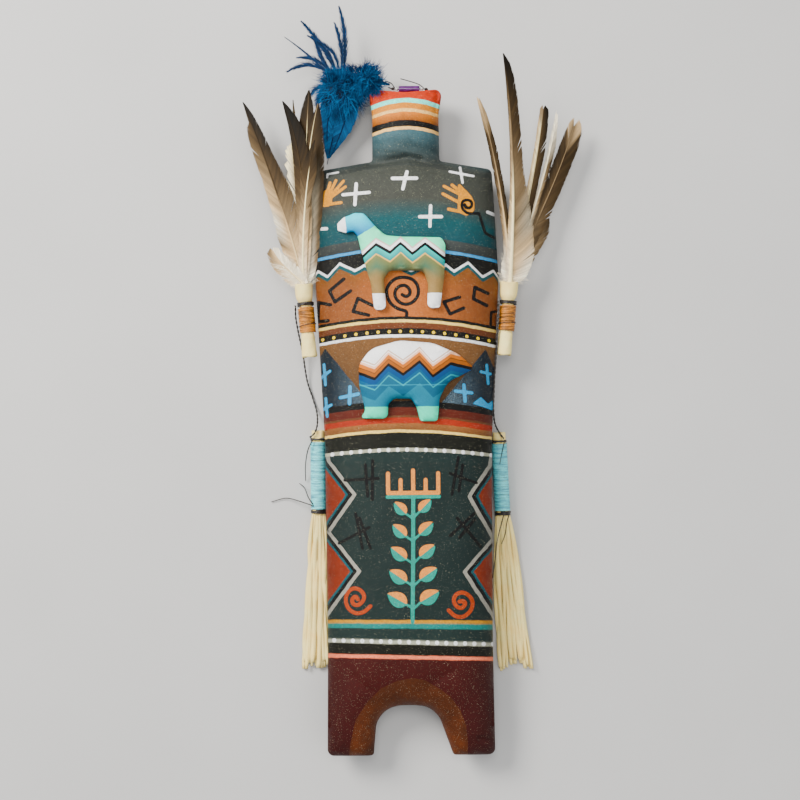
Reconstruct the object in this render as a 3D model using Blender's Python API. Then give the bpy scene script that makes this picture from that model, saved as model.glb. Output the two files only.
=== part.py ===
"""Spirit doll: a stuffed, painted canvas figure lying on its back, head towards +Y, front up.

A small stuffed horse and bear lie on its front. A feather bundle in a rolled leather sleeve is
tied to each side of the chest, and a fringed leather tassel hangs by a thread below each one.
A tuft of dyed feathers and three beads are threaded on at the top of the head.
Sizes are in metres. The origin is the centre of the bounding box's underside.
"""

import math

import bpy
import numpy as np
from mathutils import Vector
from mathutils.bvhtree import BVHTree
from mathutils.geometry import delaunay_2d_cdt

GAP = 0.0003  # clearance between two pieces that touch

# Canvas body, measured from its centre line and from the soles
HEAD_TOP = 0.4537
EAR_TOP = 0.4557
EAR_HALF_WIDTH = 0.0256
HEAD_HALF_WIDTH = 0.0227
HEAD_LEVEL = 0.4380
NECK_HALF_WIDTH = 0.0230
NECK_LEVEL = 0.4065
SHOULDER_HALF_WIDTH = 0.0588
SHOULDER_LEVEL = 0.4005
CHEST_HALF_WIDTH = 0.0628
CHEST_LEVEL = 0.3260
WAIST_HALF_WIDTH = 0.0572
WAIST_LEVEL = 0.2160
SKIRT_HALF_WIDTH = 0.0565
SKIRT_LEVEL = 0.0800
SOLE_HALF_WIDTH = 0.0575
ARCH_TOP = 0.0345
ARCH_LEFT = 0.0258
ARCH_RIGHT = 0.0288
ARCH_SHOULDER = 0.0165
CORNER_RADIUS = 0.0045
SEAM_HEIGHT = 0.0190
FRONT_PUFF = 0.0275
BACK_PUFF = 0.0240
BODY_REACH = 0.0250  # width over which the stuffing rises from a seam
NECK_CREASE = 0.26  # share of the front's puff lost in the crease under the head
NECK_CREASE_WIDTH = 0.0080
BODY_SPACING = 0.0138
RING_DEPTHS = (0.13, 0.42, 0.95)  # rows of points beside a seam, as shares of the spacing
GRID_DEPTH = 1.45

# Stuffed animals, laid on the front
HORSE_LENGTH = 0.0724
HORSE_PLACE = (-0.0466, 0.3032)  # lower left corner of its box
BEAR_LENGTH = 0.0772
BEAR_PLACE = (-0.0327, 0.2290)
ANIMAL_SEAM = 0.0016  # height of the seam above the cloth below it
ANIMAL_PUFF = 0.0096
ANIMAL_REACH = 0.0080
ANIMAL_SPACING = 0.0078

# Feather bundles: a rolled leather sleeve, its thread and its tie
SLEEVE_LENGTH = 0.0495
SLEEVE_FOOT_LEVEL = {"left": 0.2733, "right": 0.2734}  # height of its lower end on the body
SLEEVE_RISE = 0.0040  # of its axis above the seam
SLEEVE_SIDE_GAP = {"left": 0.0011, "right": 0.0007}
SLEEVE_MOUTH_RADIUS = 0.0067
SLEEVE_RADIUS = 0.0047  # under the thread
SLEEVE_FOOT_RADIUS = 0.0053
SLEEVE_BORE = 0.0050
SLEEVE_BORE_DEPTH = 0.0140
SLEEVE_FOOT_BORE = 0.0036
SLEEVE_FOOT_BORE_DEPTH = 0.0100
WRAP_BELOW_MOUTH = 0.0155
WRAP_LENGTH = 0.0175
WRAP_TO = SLEEVE_LENGTH - WRAP_BELOW_MOUTH
WRAP_FROM = WRAP_TO - WRAP_LENGTH
WRAP_THICKNESS = 0.0008
TIE_WIDTH = 0.0030
TIE_THICKNESS = 0.0010

# Feathers
QUILL_HALF_WIDTH = 0.0012
FEATHER_THICKNESS = 0.0009
QUILL_INSIDE = 0.0120  # length of the quill in the sleeve
FEATHER_PITCH = 0.00125  # from one feather to the next, at the mouth
FAN_LENGTH = 0.1200  # distance from the mouth at which the pitch has doubled
BUNDLE_RISE = 0.060
BUNDLE_TILT = 0.26  # slope towards the body
FEATHER_STATIONS = 9

# Tassels: a rolled leather core, its thread and ties, and the cut strips
TASSEL_TOP = {"left": 0.2225, "right": 0.2200}  # height of its upper end on the body
TASSEL_TUCK = 0.0010  # how far it lies under the body's seam
TASSEL_LEAN = {"left": 0.0, "right": 2.4}  # degrees outwards, going down
TASSEL_RADIUS = 0.0046
STUB_LENGTH = 0.0052
TASSEL_WRAP_LENGTH = 0.0470
FRINGE_LENGTH = 0.1080
FRINGE_SPREAD = {"left": 0.0185, "right": 0.0235}
FRINGE_DRIFT = {"left": 0.0030, "right": 0.0040}  # of the fringe's middle, outwards
STRIP_COUNT = 8
STRIP_WIDTH = 0.0046
STRIP_THICKNESS = 0.0015

# Beads and dyed feather tuft at the head
BEAD_BORE = 0.0008
TUBE_BEAD_RADIUS = 0.0021
TUBE_BEAD_LENGTH = 0.0144
TUBE_BEAD_START = -0.0045
SEED_BEAD_RADIUS = 0.0015
SEED_BEAD_LENGTH = 0.0022
BEAD_THREAD_DIAMETER = 0.0009
BEAD_THREAD_END = 0.0036  # free length past the last bead
BEAD_Y = HEAD_TOP + TUBE_BEAD_RADIUS
BEAD_Z = SEAM_HEIGHT + 0.0025
TUFT_ROOT = (TUBE_BEAD_START - SEED_BEAD_LENGTH - 0.0038, BEAD_Y + 0.0030, BEAD_Z)
STEM_RADIUS = 0.0016

THREAD_DIAMETER = 0.0014
SIDES = 12
BEAD_SIDES = 10

CANVAS = (0.10, 0.16, 0.19)
LEATHER = (0.86, 0.79, 0.62)
FEATHER = (0.36, 0.27, 0.18)
BLACK = (0.02, 0.02, 0.02)
TURQUOISE = (0.16, 0.56, 0.60)

# Animal outlines as shares of their length: x, y and corner radius, anticlockwise
HORSE_OUTLINE = (
    (0.005, 0.745, 0.02), (0.080, 0.720, 0.05), (0.150, 0.735, 0.05), (0.190, 0.690, 0.06),
    (0.225, 0.540, 0.20), (0.310, 0.240, 0.30), (0.340, 0.000, 0.04), (0.450, 0.005, 0.05),
    (0.430, 0.290, 0.06), (0.480, 0.365, 0.07), (0.795, 0.360, 0.06), (0.835, 0.240, 0.10),
    (0.825, 0.010, 0.05), (0.945, 0.020, 0.03), (0.985, 0.300, 0.30), (1.000, 0.600, 0.06),
    (0.965, 0.668, 0.05), (0.610, 0.675, 0.20), (0.450, 0.690, 0.10), (0.375, 0.755, 0.08),
    (0.250, 0.900, 0.06), (0.165, 0.905, 0.07), (0.060, 0.865, 0.05), (0.000, 0.810, 0.02),
)
BEAR_OUTLINE = (
    (0.000, 0.030, 0.04), (0.245, 0.025, 0.05), (0.250, 0.150, 0.06), (0.300, 0.197, 0.05),
    (0.450, 0.195, 0.05), (0.495, 0.120, 0.06), (0.525, 0.000, 0.03), (0.675, 0.000, 0.03),
    (0.695, 0.200, 0.15), (0.770, 0.340, 0.20), (0.890, 0.395, 0.20), (1.005, 0.455, 0.03),
    (0.860, 0.580, 0.30), (0.640, 0.675, 0.30), (0.350, 0.700, 0.30), (0.100, 0.630, 0.20),
    (-0.005, 0.490, 0.15), (0.000, 0.310, 0.30), (0.055, 0.090, 0.20),
)

# Feathers of each bundle, back to front: degrees outwards, length, bow outwards, width of the
# vane towards the body and away from it, where it is widest as a share of the length, and how
# much of the width is left past there
FEATHERS = {
    "left": (
        (-1.8, 0.1261, 0.0000, 0.0020, 0.0020, 0.60, 1.00),
        (13.5, 0.1326, -0.0024, 0.0105, 0.0088, 0.60, 0.50),
        (-7.6, 0.1308, 0.0010, 0.0040, 0.0048, 0.70, 1.00),
        (-10.0, 0.1213, 0.0044, 0.0125, 0.0030, 0.52, 0.75),
        (1.3, 0.1240, -0.0090, 0.0085, 0.0040, 0.70, 0.90),
        (-10.1, 0.0962, 0.0036, 0.0050, 0.0050, 0.86, 1.00),
        (26.0, 0.0400, 0.0010, 0.0060, 0.0065, 0.50, 1.00),
    ),
    "right": (
        (26.5, 0.0500, 0.0010, 0.0080, 0.0070, 0.50, 1.00),
        (18.5, 0.1169, 0.0030, 0.0075, 0.0080, 0.66, 1.00),
        (11.6, 0.1196, 0.0040, 0.0022, 0.0030, 0.80, 1.00),
        (6.8, 0.1198, 0.0027, 0.0046, 0.0046, 0.80, 1.00),
        (-12.9, 0.1236, 0.0047, 0.0036, 0.0036, 0.60, 0.90),
        (-5.2, 0.1515, 0.0042, 0.0036, 0.0190, 0.30, 0.42),
    ),
}

# The tuft's fluffy lobes: centre from its root, and radii
TUFT_LOBES = (
    ((-0.0355, -0.0050, -0.0060), (0.0188, 0.0185, 0.0120)),
    ((-0.0160, 0.0060, -0.0030), (0.0158, 0.0078, 0.0095)),
)
# Its hackles: start and tip from the root, and half width at the start
HACKLES = (
    ((-0.0330, 0.0080, -0.0040), (-0.0343, 0.0545, -0.0030), 0.0040),
    ((-0.0350, 0.0060, -0.0060), (-0.0517, 0.0372, -0.0070), 0.0036),
    ((-0.0350, 0.0060, -0.0040), (-0.0603, 0.0442, -0.0020), 0.0042),
    ((-0.0370, 0.0030, -0.0070), (-0.0723, 0.0350, -0.0090), 0.0034),
    ((-0.0390, 0.0020, -0.0060), (-0.0708, 0.0100, -0.0040), 0.0046),
    ((-0.0315, -0.0130, -0.0090), (-0.0433, -0.0515, -0.0110), 0.0135),
)

# Threads that carry the tassels, as points on their routes
THREAD_ROUTES = {
    "thread_left": (
        (-0.0764, 0.3085, 0.0212), (-0.0766, 0.3007, 0.0168), (-0.0752, 0.2903, 0.0120),
        (-0.0728, 0.2772, 0.0068), (-0.0702, 0.2578, 0.0024), (-0.0662, 0.2446, 0.0011),
        (-0.0634, 0.2345, 0.0030), (-0.0630, 0.2265, 0.0094), (-0.0648, 0.2210, 0.0118),
        (-0.0682, 0.2180, 0.0099),
    ),
    "thread_right": (
        (0.0620, 0.3100, 0.0276), (0.0618, 0.2985, 0.0276), (0.0613, 0.2904, 0.0268),
        (0.0607, 0.2800, 0.0256), (0.0599, 0.2700, 0.0252), (0.0590, 0.2580, 0.0251),
        (0.0583, 0.2450, 0.0253), (0.0581, 0.2350, 0.0247), (0.0592, 0.2268, 0.0202),
        (0.0622, 0.2208, 0.0146), (0.0658, 0.2160, 0.0119),
    ),
}


def material(name, colour, roughness=0.8):
    made = bpy.data.materials.get(name) or bpy.data.materials.new(name)
    made.use_nodes = True
    shader = made.node_tree.nodes["Principled BSDF"]
    shader.inputs["Base Color"].default_value = (*colour, 1.0)
    shader.inputs["Roughness"].default_value = roughness
    return made


def add_mesh(name, points, faces, finish, parent=None):
    """One closed mesh as a named object."""
    mesh = bpy.data.meshes.new(name)
    mesh.from_pydata([tuple(p) for p in points], [], [tuple(f) for f in faces])
    mesh.materials.append(finish)
    mesh.shade_smooth()
    mesh.set_sharp_from_angle(angle=math.radians(50))
    made = bpy.data.objects.new(name, mesh)
    bpy.context.scene.collection.objects.link(made)
    made.parent = parent
    return made


def loft(rings):
    """Points and faces of a solid through rings of equally many points, closed at both ends."""
    count = len(rings[0])
    points = [p for ring in rings for p in ring]
    faces = [tuple(reversed(range(count)))]
    for start in range(0, len(points) - count, count):
        for i in range(count):
            j = (i + 1) % count
            faces.append((start + i, start + j, start + count + j, start + count + i))
    faces.append(tuple(range(len(points) - count, len(points))))
    return points, faces


def lathe(profile, sides=SIDES):
    """Points and faces turned about +Y: from axis to axis, or a closed ring if it has no axis point."""
    closed = all(radius > 0 for radius, _ in profile)
    points = []
    starts = []
    for radius, along in profile:
        starts.append(len(points))
        turns = sides if radius > 0 else 1
        for k in range(turns):
            angle = 2 * math.pi * k / sides
            points.append((radius * math.cos(angle), along, radius * math.sin(angle)))
    faces = []
    pairs = list(zip(range(len(profile)), range(1, len(profile))))
    if closed:
        pairs.append((len(profile) - 1, 0))
    for a, b in pairs:
        for k in range(sides):
            m = (k + 1) % sides
            ring_a = [starts[a] + k, starts[a] + m] if profile[a][0] > 0 else [starts[a]]
            ring_b = [starts[b] + m, starts[b] + k] if profile[b][0] > 0 else [starts[b]]
            faces.append(tuple(ring_a + ring_b))
    return points, faces


def rounded_outline(corners, step):
    """A closed outline, anticlockwise, with each corner (x, y, radius) rounded by an arc."""
    count = len(corners)
    bends = []
    for i, (x, y, radius) in enumerate(corners):
        here = np.array((x, y))
        back = np.array(corners[i - 1][:2]) - here
        ahead = np.array(corners[(i + 1) % count][:2]) - here
        room = 0.48 * min(np.linalg.norm(back), np.linalg.norm(ahead))
        back = back / np.linalg.norm(back)
        ahead = ahead / np.linalg.norm(ahead)
        half = math.acos(max(-1.0, min(1.0, float(back @ ahead)))) / 2
        if math.pi / 2 - half < 1e-3:
            bends.append([here])
            continue
        reach = min(radius / math.tan(half), room)
        radius = reach * math.tan(half)
        middle = (back + ahead) / np.linalg.norm(back + ahead)
        centre = here + middle * radius / math.sin(half)
        turns = max(2, math.ceil(radius * (math.pi - 2 * half) / step))
        first = here + back * reach - centre
        last = here + ahead * reach - centre
        sweep = math.pi - 2 * half
        bends.append([
            centre
            + (math.sin(sweep * (1 - t)) * first + math.sin(sweep * t) * last) / math.sin(sweep)
            for t in np.linspace(0, 1, turns + 1)
        ])
    outline = []
    for i, bend in enumerate(bends):
        outline.extend(bend)
        gap = bends[(i + 1) % count][0] - bend[-1]
        parts = math.ceil(np.linalg.norm(gap) / step - 0.2)
        outline.extend(bend[-1] + gap * k / parts for k in range(1, parts))
    return np.array(outline)


def seam_distance(points, outline):
    """Distance from each point to the outline, below zero outside it."""
    start, end = outline, np.roll(outline, -1, axis=0)
    edge = end - start
    offset = points[:, None, :] - start[None, :, :]
    share = np.clip((offset * edge).sum(2) / (edge * edge).sum(1), 0, 1)
    distance = np.linalg.norm(offset - share[:, :, None] * edge, axis=2).min(1)
    above = (start[None, :, 1] > points[:, None, 1]) != (end[None, :, 1] > points[:, None, 1])
    rise = np.where(np.abs(edge[:, 1]) < 1e-12, 1e-12, edge[:, 1])
    crossing = start[:, 0] + (points[:, None, 1] - start[None, :, 1]) / rise * edge[:, 0]
    inside = (above & (points[:, None, 0] < crossing)).sum(1) % 2 == 1
    return np.where(inside, distance, -distance)


def cloth_sheet(outline, spacing):
    """Triangles over an outline: an even grid, and rings near the seam, where the cloth is steep."""
    tangent = np.roll(outline, -1, axis=0) - np.roll(outline, 1, axis=0)
    inward = np.stack([-tangent[:, 1], tangent[:, 0]], 1)
    inward /= np.linalg.norm(inward, axis=1)[:, None]
    inner = []
    for share in RING_DEPTHS:
        ring = outline + inward * share * spacing
        inner.append(ring[seam_distance(ring, outline) > 0.93 * share * spacing])
    low, high = outline.min(0), outline.max(0)
    rows = np.arange(low[1], high[1], spacing * math.sqrt(3) / 2)
    grid = np.array([
        (x + (k % 2) * spacing / 2, y)
        for k, y in enumerate(rows)
        for x in np.arange(low[0] - spacing, high[0] + spacing, spacing)
    ])
    inner.append(grid[seam_distance(grid, outline) > GRID_DEPTH * spacing])
    points = np.vstack([outline, *inner])
    count = len(outline)
    edges = [(i, (i + 1) % count) for i in range(count)]
    made = delaunay_2d_cdt([Vector(p) for p in points], edges, [list(range(count))], 1, 1e-9)
    return np.array([tuple(p) for p in made[0]]), [tuple(f) for f in made[2]]


def puff(points, triangles, seam, reach):
    """How far the stuffing pushes each point out, from 0 on the seam towards 1 in a wide middle."""
    stiffness = np.zeros((len(points), len(points)))
    mass = np.zeros(len(points))
    for triangle in triangles:
        for k in range(3):
            i, j, opposite = (triangle[(k + m) % 3] for m in range(3))
            a, b = points[i] - points[opposite], points[j] - points[opposite]
            area = abs(a[0] * b[1] - a[1] * b[0])
            weight = (a @ b) / area / 2
            stiffness[i, i] += weight
            stiffness[j, j] += weight
            stiffness[i, j] -= weight
            stiffness[j, i] -= weight
            mass[opposite] += area / 6
    load = mass / reach**2
    free = ~seam
    height = np.zeros(len(points))
    system = stiffness + np.diag(load)
    height[free] = np.linalg.solve(system[np.ix_(free, free)], load[free])
    return np.sqrt(np.maximum(height, 0))


def pillow(outline, spacing, reach, front, back):
    """A stuffed piece from two sheets joined at the seam. front and back give z from x, y and puff."""
    flat, triangles = cloth_sheet(outline, spacing)
    seam = seam_distance(flat, outline) < 1e-6
    height = puff(flat, triangles, seam, reach)
    points = [(x, y, front(x, y, h)) for (x, y), h in zip(flat, height)]
    under = {}
    for i, ((x, y), h) in enumerate(zip(flat, height)):
        under[i] = i if seam[i] else len(points)
        if not seam[i]:
            points.append((x, y, back(x, y, h)))
    faces = list(triangles)
    faces += [tuple(under[i] for i in reversed(triangle)) for triangle in triangles]
    return points, faces


def side_of_body(level):
    """The body's half width at a height above its soles."""
    rows = (
        (0.0, SOLE_HALF_WIDTH), (SKIRT_LEVEL, SKIRT_HALF_WIDTH), (WAIST_LEVEL, WAIST_HALF_WIDTH),
        (CHEST_LEVEL, CHEST_HALF_WIDTH), (SHOULDER_LEVEL, SHOULDER_HALF_WIDTH),
    )
    return float(np.interp(level, [row[0] for row in rows], [row[1] for row in rows]))


def body_corners():
    """The canvas outline's corners, anticlockwise from the right sole."""
    wide = 0.080
    right = [
        (SOLE_HALF_WIDTH, 0.0, CORNER_RADIUS),
        (SKIRT_HALF_WIDTH, SKIRT_LEVEL, wide),
        (WAIST_HALF_WIDTH, WAIST_LEVEL, wide),
        (CHEST_HALF_WIDTH, CHEST_LEVEL, wide),
        (SHOULDER_HALF_WIDTH, SHOULDER_LEVEL, CORNER_RADIUS),
        (NECK_HALF_WIDTH, NECK_LEVEL, CORNER_RADIUS / 2),
        (HEAD_HALF_WIDTH, HEAD_LEVEL, wide / 4),
        (EAR_HALF_WIDTH, EAR_TOP, CORNER_RADIUS),
    ]
    left = [(-x, y, radius) for x, y, radius in reversed(right)]
    arch = [
        (-ARCH_LEFT, 0.0, CORNER_RADIUS / 2),
        (-ARCH_LEFT + 0.003, ARCH_TOP, 0.020),
        (ARCH_SHOULDER, ARCH_TOP, 0.018),
        (ARCH_RIGHT, 0.0, CORNER_RADIUS / 2),
    ]
    return right + [(0.0, HEAD_TOP, wide / 2)] + left + arch


def make_body(parent):
    outline = rounded_outline(body_corners(), BODY_SPACING * 0.8)

    def front(x, y, h):
        near_neck = math.exp(-(((y - NECK_LEVEL) / NECK_CREASE_WIDTH) ** 2))
        return SEAM_HEIGHT + FRONT_PUFF * h * (1 - NECK_CREASE * near_neck)

    def back(x, y, h):
        return max(0.0, SEAM_HEIGHT - BACK_PUFF * h)

    points, faces = pillow(outline, BODY_SPACING, BODY_REACH, front, back)
    add_mesh("body", points, faces, material("painted_canvas", CANVAS), parent)
    return BVHTree.FromPolygons([Vector(p) for p in points], faces)


def make_animal(name, shape, length, place, body, parent):
    """A small stuffed figure whose back follows the body's front."""
    corners = [(place[0] + x * length, place[1] + y * length, r * length) for x, y, r in shape]
    outline = rounded_outline(corners, ANIMAL_SPACING)

    def ground(x, y):
        hit = body.ray_cast(Vector((x, y, 1.0)), Vector((0, 0, -1)))[0]
        return hit.z if hit else SEAM_HEIGHT

    def front(x, y, h):
        return ground(x, y) + ANIMAL_SEAM + ANIMAL_PUFF * h

    def back(x, y, h):
        return ground(x, y) + GAP + (ANIMAL_SEAM - GAP) * (1 - h) ** 3

    points, faces = pillow(outline, ANIMAL_SPACING, ANIMAL_REACH, front, back)
    add_mesh(name, points, faces, material("turquoise_canvas", TURQUOISE), parent)


def ring_profile(inner, outer, low, high):
    """A closed ring's profile with its outer edges taken off."""
    edge = min(outer - inner, high - low) * 0.4
    return [
        (inner, low), (inner, high), (outer - edge, high),
        (outer, high - edge), (outer, low + edge), (outer - edge, low),
    ]


def feather_shape(side, lean, length, bow):
    """The shaft's line in the bundle's frame, from inside the sleeve to the tip, as plan points."""
    outwards = -1 if side == "left" else 1
    angle = math.radians(lean)
    tip = np.array((outwards * math.sin(angle), math.cos(angle))) * length
    across = np.array((outwards * math.cos(angle), -math.sin(angle))) * bow
    start, knee = np.array((0.0, 0.0)), np.array((0.0, 0.06 * length))
    hold = tip * 0.6 + across * 1.8
    line = []
    for t in np.linspace(0, 1, FEATHER_STATIONS):
        line.append(
            start * (1 - t) ** 3 + 3 * knee * t * (1 - t) ** 2
            + 3 * hold * t * t * (1 - t) + tip * t**3
        )
    return line


def vane_share(t, peak, slim):
    """The vane's width along the shaft, as a share of its widest."""
    bare = 0.03
    rise = math.sin(math.pi / 2 * min(1.0, max(0.0, (t - bare) / (peak - bare))))
    past = min(1.0, max(0.0, (t - peak) / (1.005 - peak)))
    step = min(1.0, max(0.0, (t - peak - 0.04) / 0.22))
    notch = 1 - (1 - slim) * step * step * (3 - 2 * step)
    return rise * math.sqrt(1 - past**2.2) * notch


def make_feather(side, number, level, sizes, parent):
    lean, length, bow, inner_width, outer_width, peak, slim = sizes
    outwards = -1 if side == "left" else 1
    line = feather_shape(side, lean, length, bow)

    def lifted(point):
        """Height of the bundle's surface over a plan point, for this feather's level."""
        away = math.hypot(*point)
        height = BUNDLE_RISE * away - BUNDLE_TILT * outwards * point[0]
        return height + level * FEATHER_PITCH * (1 + away / FAN_LENGTH)

    rings = []
    for along in (-QUILL_INSIDE, 0.0):
        rings.append(((0.0, along), (1.0, 0.0), 0.0, 0.0, level * FEATHER_PITCH))
    for k in range(1, FEATHER_STATIONS):
        forward = line[min(k + 1, FEATHER_STATIONS - 1)] - line[k - 1]
        forward = forward / np.linalg.norm(forward)
        across = (forward[1] * outwards, -forward[0] * outwards)
        share = vane_share(k / (FEATHER_STATIONS - 1), peak, slim)
        rings.append((line[k], (across[0], across[1]), share * inner_width, share * outer_width, None))
    solid = []
    for centre, across, inner, outer, height in rings:
        taper = QUILL_HALF_WIDTH if height is not None else QUILL_HALF_WIDTH * 0.7
        reach = [-max(inner, taper * 1.15), -taper * 0.6, taper * 0.6, max(outer, taper * 1.15)]
        direction = outwards if height is not None else 1
        spots = [
            (centre[0] + across[0] * r * direction, centre[1] + across[1] * r * direction)
            for r in reach
        ]
        levels = [lifted(s) if height is None else height for s in spots]
        half = FEATHER_THICKNESS / 2
        ring = [
            (*spots[0], SLEEVE_LENGTH, levels[0]),
            (*spots[1], SLEEVE_LENGTH, levels[1] - half),
            (*spots[2], SLEEVE_LENGTH, levels[2] - half),
            (*spots[3], SLEEVE_LENGTH, levels[3]),
            (*spots[2], SLEEVE_LENGTH, levels[2] + half),
            (*spots[1], SLEEVE_LENGTH, levels[1] + half),
        ]
        solid.append([(x, y + base, z) for x, y, base, z in ring])
    if outwards > 0:
        solid = [ring[::-1] for ring in solid]
    points, faces = loft(solid)
    add_mesh(f"feather_{side}_{number}", points, faces, material("feather", FEATHER), parent)


def make_sleeve(side, parent):
    """The rolled leather sleeve, the brown thread round it and the black tie above the thread."""
    tie_from = WRAP_TO + GAP
    tie_to = tie_from + TIE_WIDTH
    profile = [
        (0.0, SLEEVE_FOOT_BORE_DEPTH), (SLEEVE_FOOT_BORE, SLEEVE_FOOT_BORE_DEPTH),
        (SLEEVE_FOOT_BORE, 0.0), (SLEEVE_FOOT_RADIUS, 0.0),
        (SLEEVE_FOOT_RADIUS, WRAP_FROM - 0.002), (SLEEVE_RADIUS, WRAP_FROM - GAP),
        (SLEEVE_RADIUS, tie_to), (SLEEVE_MOUTH_RADIUS - 0.0006, tie_to + 0.002),
        (SLEEVE_MOUTH_RADIUS, SLEEVE_LENGTH), (SLEEVE_BORE, SLEEVE_LENGTH),
        (SLEEVE_BORE, SLEEVE_LENGTH - SLEEVE_BORE_DEPTH), (0.0, SLEEVE_LENGTH - SLEEVE_BORE_DEPTH),
    ]
    points, faces = lathe(profile[::-1])
    add_mesh(f"sleeve_{side}", points, faces, material("leather", LEATHER), parent)
    inner = SLEEVE_RADIUS + GAP
    points, faces = lathe(ring_profile(inner, inner + WRAP_THICKNESS, WRAP_FROM, WRAP_TO))
    brown = material("brown_thread", (0.50, 0.25, 0.09))
    add_mesh(f"sleeve_wrap_{side}", points, faces, brown, parent)
    points, faces = lathe(ring_profile(inner, inner + TIE_THICKNESS, tie_from + GAP, tie_to))
    add_mesh(f"sleeve_tie_{side}", points, faces, material("black_thread", BLACK), parent)


def make_bundle(side, parent):
    """A sleeve lying along the body's side seam, with its feathers."""
    bundle = bpy.data.objects.new(f"bundle_{side}", None)
    bpy.context.scene.collection.objects.link(bundle)
    bundle.parent = parent
    outwards = -1 if side == "left" else 1
    low = SLEEVE_FOOT_LEVEL[side]
    foot = side_of_body(low) + SLEEVE_FOOT_RADIUS + SLEEVE_SIDE_GAP[side]
    mouth = side_of_body(low + SLEEVE_LENGTH) + SLEEVE_MOUTH_RADIUS + SLEEVE_SIDE_GAP[side]
    bundle.location = (outwards * foot, low, SEAM_HEIGHT + SLEEVE_RISE)
    bundle.rotation_euler.z = -outwards * math.asin((mouth - foot) / SLEEVE_LENGTH)
    make_sleeve(side, bundle)
    count = len(FEATHERS[side])
    for k, sizes in enumerate(FEATHERS[side]):
        make_feather(side, k + 1, k - (count - 1) / 2, sizes, bundle)


def join(target, others):
    """Fuses other objects into target, with one Boolean each."""
    for k, other in enumerate(others):
        other.hide_render = True
        other.display_type = "WIRE"
        modifier = target.modifiers.new(f"join_{k + 1}", "BOOLEAN")
        modifier.operation = "UNION"
        modifier.solver = "EXACT"
        modifier.object = other


def make_strip(side, index, core_end, leather, parent):
    """One cut strip of the fringe, from inside the core to its end on the ground."""
    outwards = -1 if side == "left" else 1
    upper = index % 2
    share = (index + 0.5) / STRIP_COUNT - 0.5
    near, far = share * TASSEL_RADIUS * 1.1, share * FRINGE_SPREAD[side]
    length = FRINGE_LENGTH * (1 - 0.05 * ((index * 5) % STRIP_COUNT) / STRIP_COUNT)
    high = TASSEL_RADIUS + GAP
    low = STRIP_THICKNESS * (0.5 + 1.15 * upper) + GAP
    rings = []
    for t in (-0.03, 0.03, 0.20, 0.45, 0.75, 1.0):
        open_share = max(0.0, t) ** 0.7
        x = near + (far - near) * open_share + outwards * FRINGE_DRIFT[side] * max(0.0, t)
        y = core_end - t * length
        drop = min(1.0, max(0.0, t) / 0.3)
        start = high + (upper - 0.5) * TASSEL_RADIUS * 0.7
        z = start + (low - start) * drop
        half = STRIP_WIDTH / 2 * (0.45 + 0.55 * drop)
        thick = STRIP_THICKNESS / 2
        rings.append([
            (x - half, y, z - thick), (x + half, y, z - thick),
            (x + half, y, z + thick), (x - half, y, z + thick),
        ])
    points, faces = loft(rings)
    return add_mesh(f"strip_{side}_{index}", points, faces, leather, parent)


def make_tassel(side, parent):
    """A rolled leather core with its thread, two black ties and the fringe cut from its end."""
    tassel = bpy.data.objects.new(f"tassel_frame_{side}", None)
    bpy.context.scene.collection.objects.link(tassel)
    tassel.parent = parent
    outwards = -1 if side == "left" else 1
    leather = material("leather", LEATHER)
    outer = TASSEL_RADIUS + 2 * GAP + TIE_THICKNESS
    away = side_of_body(TASSEL_TOP[side]) + outer - TASSEL_TUCK
    tassel.location = (outwards * away, TASSEL_TOP[side], 0.0)
    tassel.rotation_euler.z = outwards * math.radians(TASSEL_LEAN[side])
    wrap_from = -STUB_LENGTH - TIE_WIDTH / 2 - 2 * GAP
    wrap_to = wrap_from - TASSEL_WRAP_LENGTH
    core_end = wrap_to - TIE_WIDTH - 3 * GAP
    profile = [
        (0.0, 0.0), (TASSEL_RADIUS - 0.0006, 0.0), (TASSEL_RADIUS, -0.0008),
        (TASSEL_RADIUS, core_end + 0.0010), (TASSEL_RADIUS + 0.0006, core_end),
        (TASSEL_RADIUS + 0.0004, core_end - 0.0030), (0.0, core_end - 0.0040),
    ]
    points, faces = lathe(profile)
    core = add_mesh(f"tassel_{side}", points, faces, leather, tassel)
    core.location.z = outer
    strips = [
        make_strip(side, k, core_end - 0.002, leather, tassel)
        for k in range(STRIP_COUNT)
    ]
    join(core, strips)
    inner = TASSEL_RADIUS + GAP
    blue = material("blue_thread", (0.35, 0.58, 0.68))
    black = material("black_thread", BLACK)
    upper = wrap_from + GAP
    rings = (
        (f"tassel_wrap_{side}", wrap_to, wrap_from, WRAP_THICKNESS, blue),
        (f"tassel_tie_upper_{side}", upper, upper + TIE_WIDTH / 2, TIE_THICKNESS, black),
        (f"tassel_tie_lower_{side}", core_end + 0.0014, wrap_to - GAP, TIE_THICKNESS, black),
    )
    for name, low, high, thickness, finish in rings:
        points, faces = lathe(ring_profile(inner, inner + thickness, low, high))
        add_mesh(name, points, faces, finish, tassel).location.z = outer


def tapered_blade(start, end, half_width, half_height, stations=4):
    """A thin pointed blade between two points, lying flat."""
    start, end = np.array(start), np.array(end)
    forward = (end - start) / np.linalg.norm(end - start)
    across = np.cross(forward, (0, 0, 1))
    across /= np.linalg.norm(across)
    up = np.cross(across, forward)
    rings = []
    for t in np.linspace(0, 1, stations):
        width = half_width * (1 - 0.82 * t**1.3)
        height = half_height * (1 - 0.5 * t)
        centre = start + (end - start) * t
        rings.append([
            centre + across * width, centre - up * height,
            centre - across * width, centre + up * height,
        ])
    return loft(rings)


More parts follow.
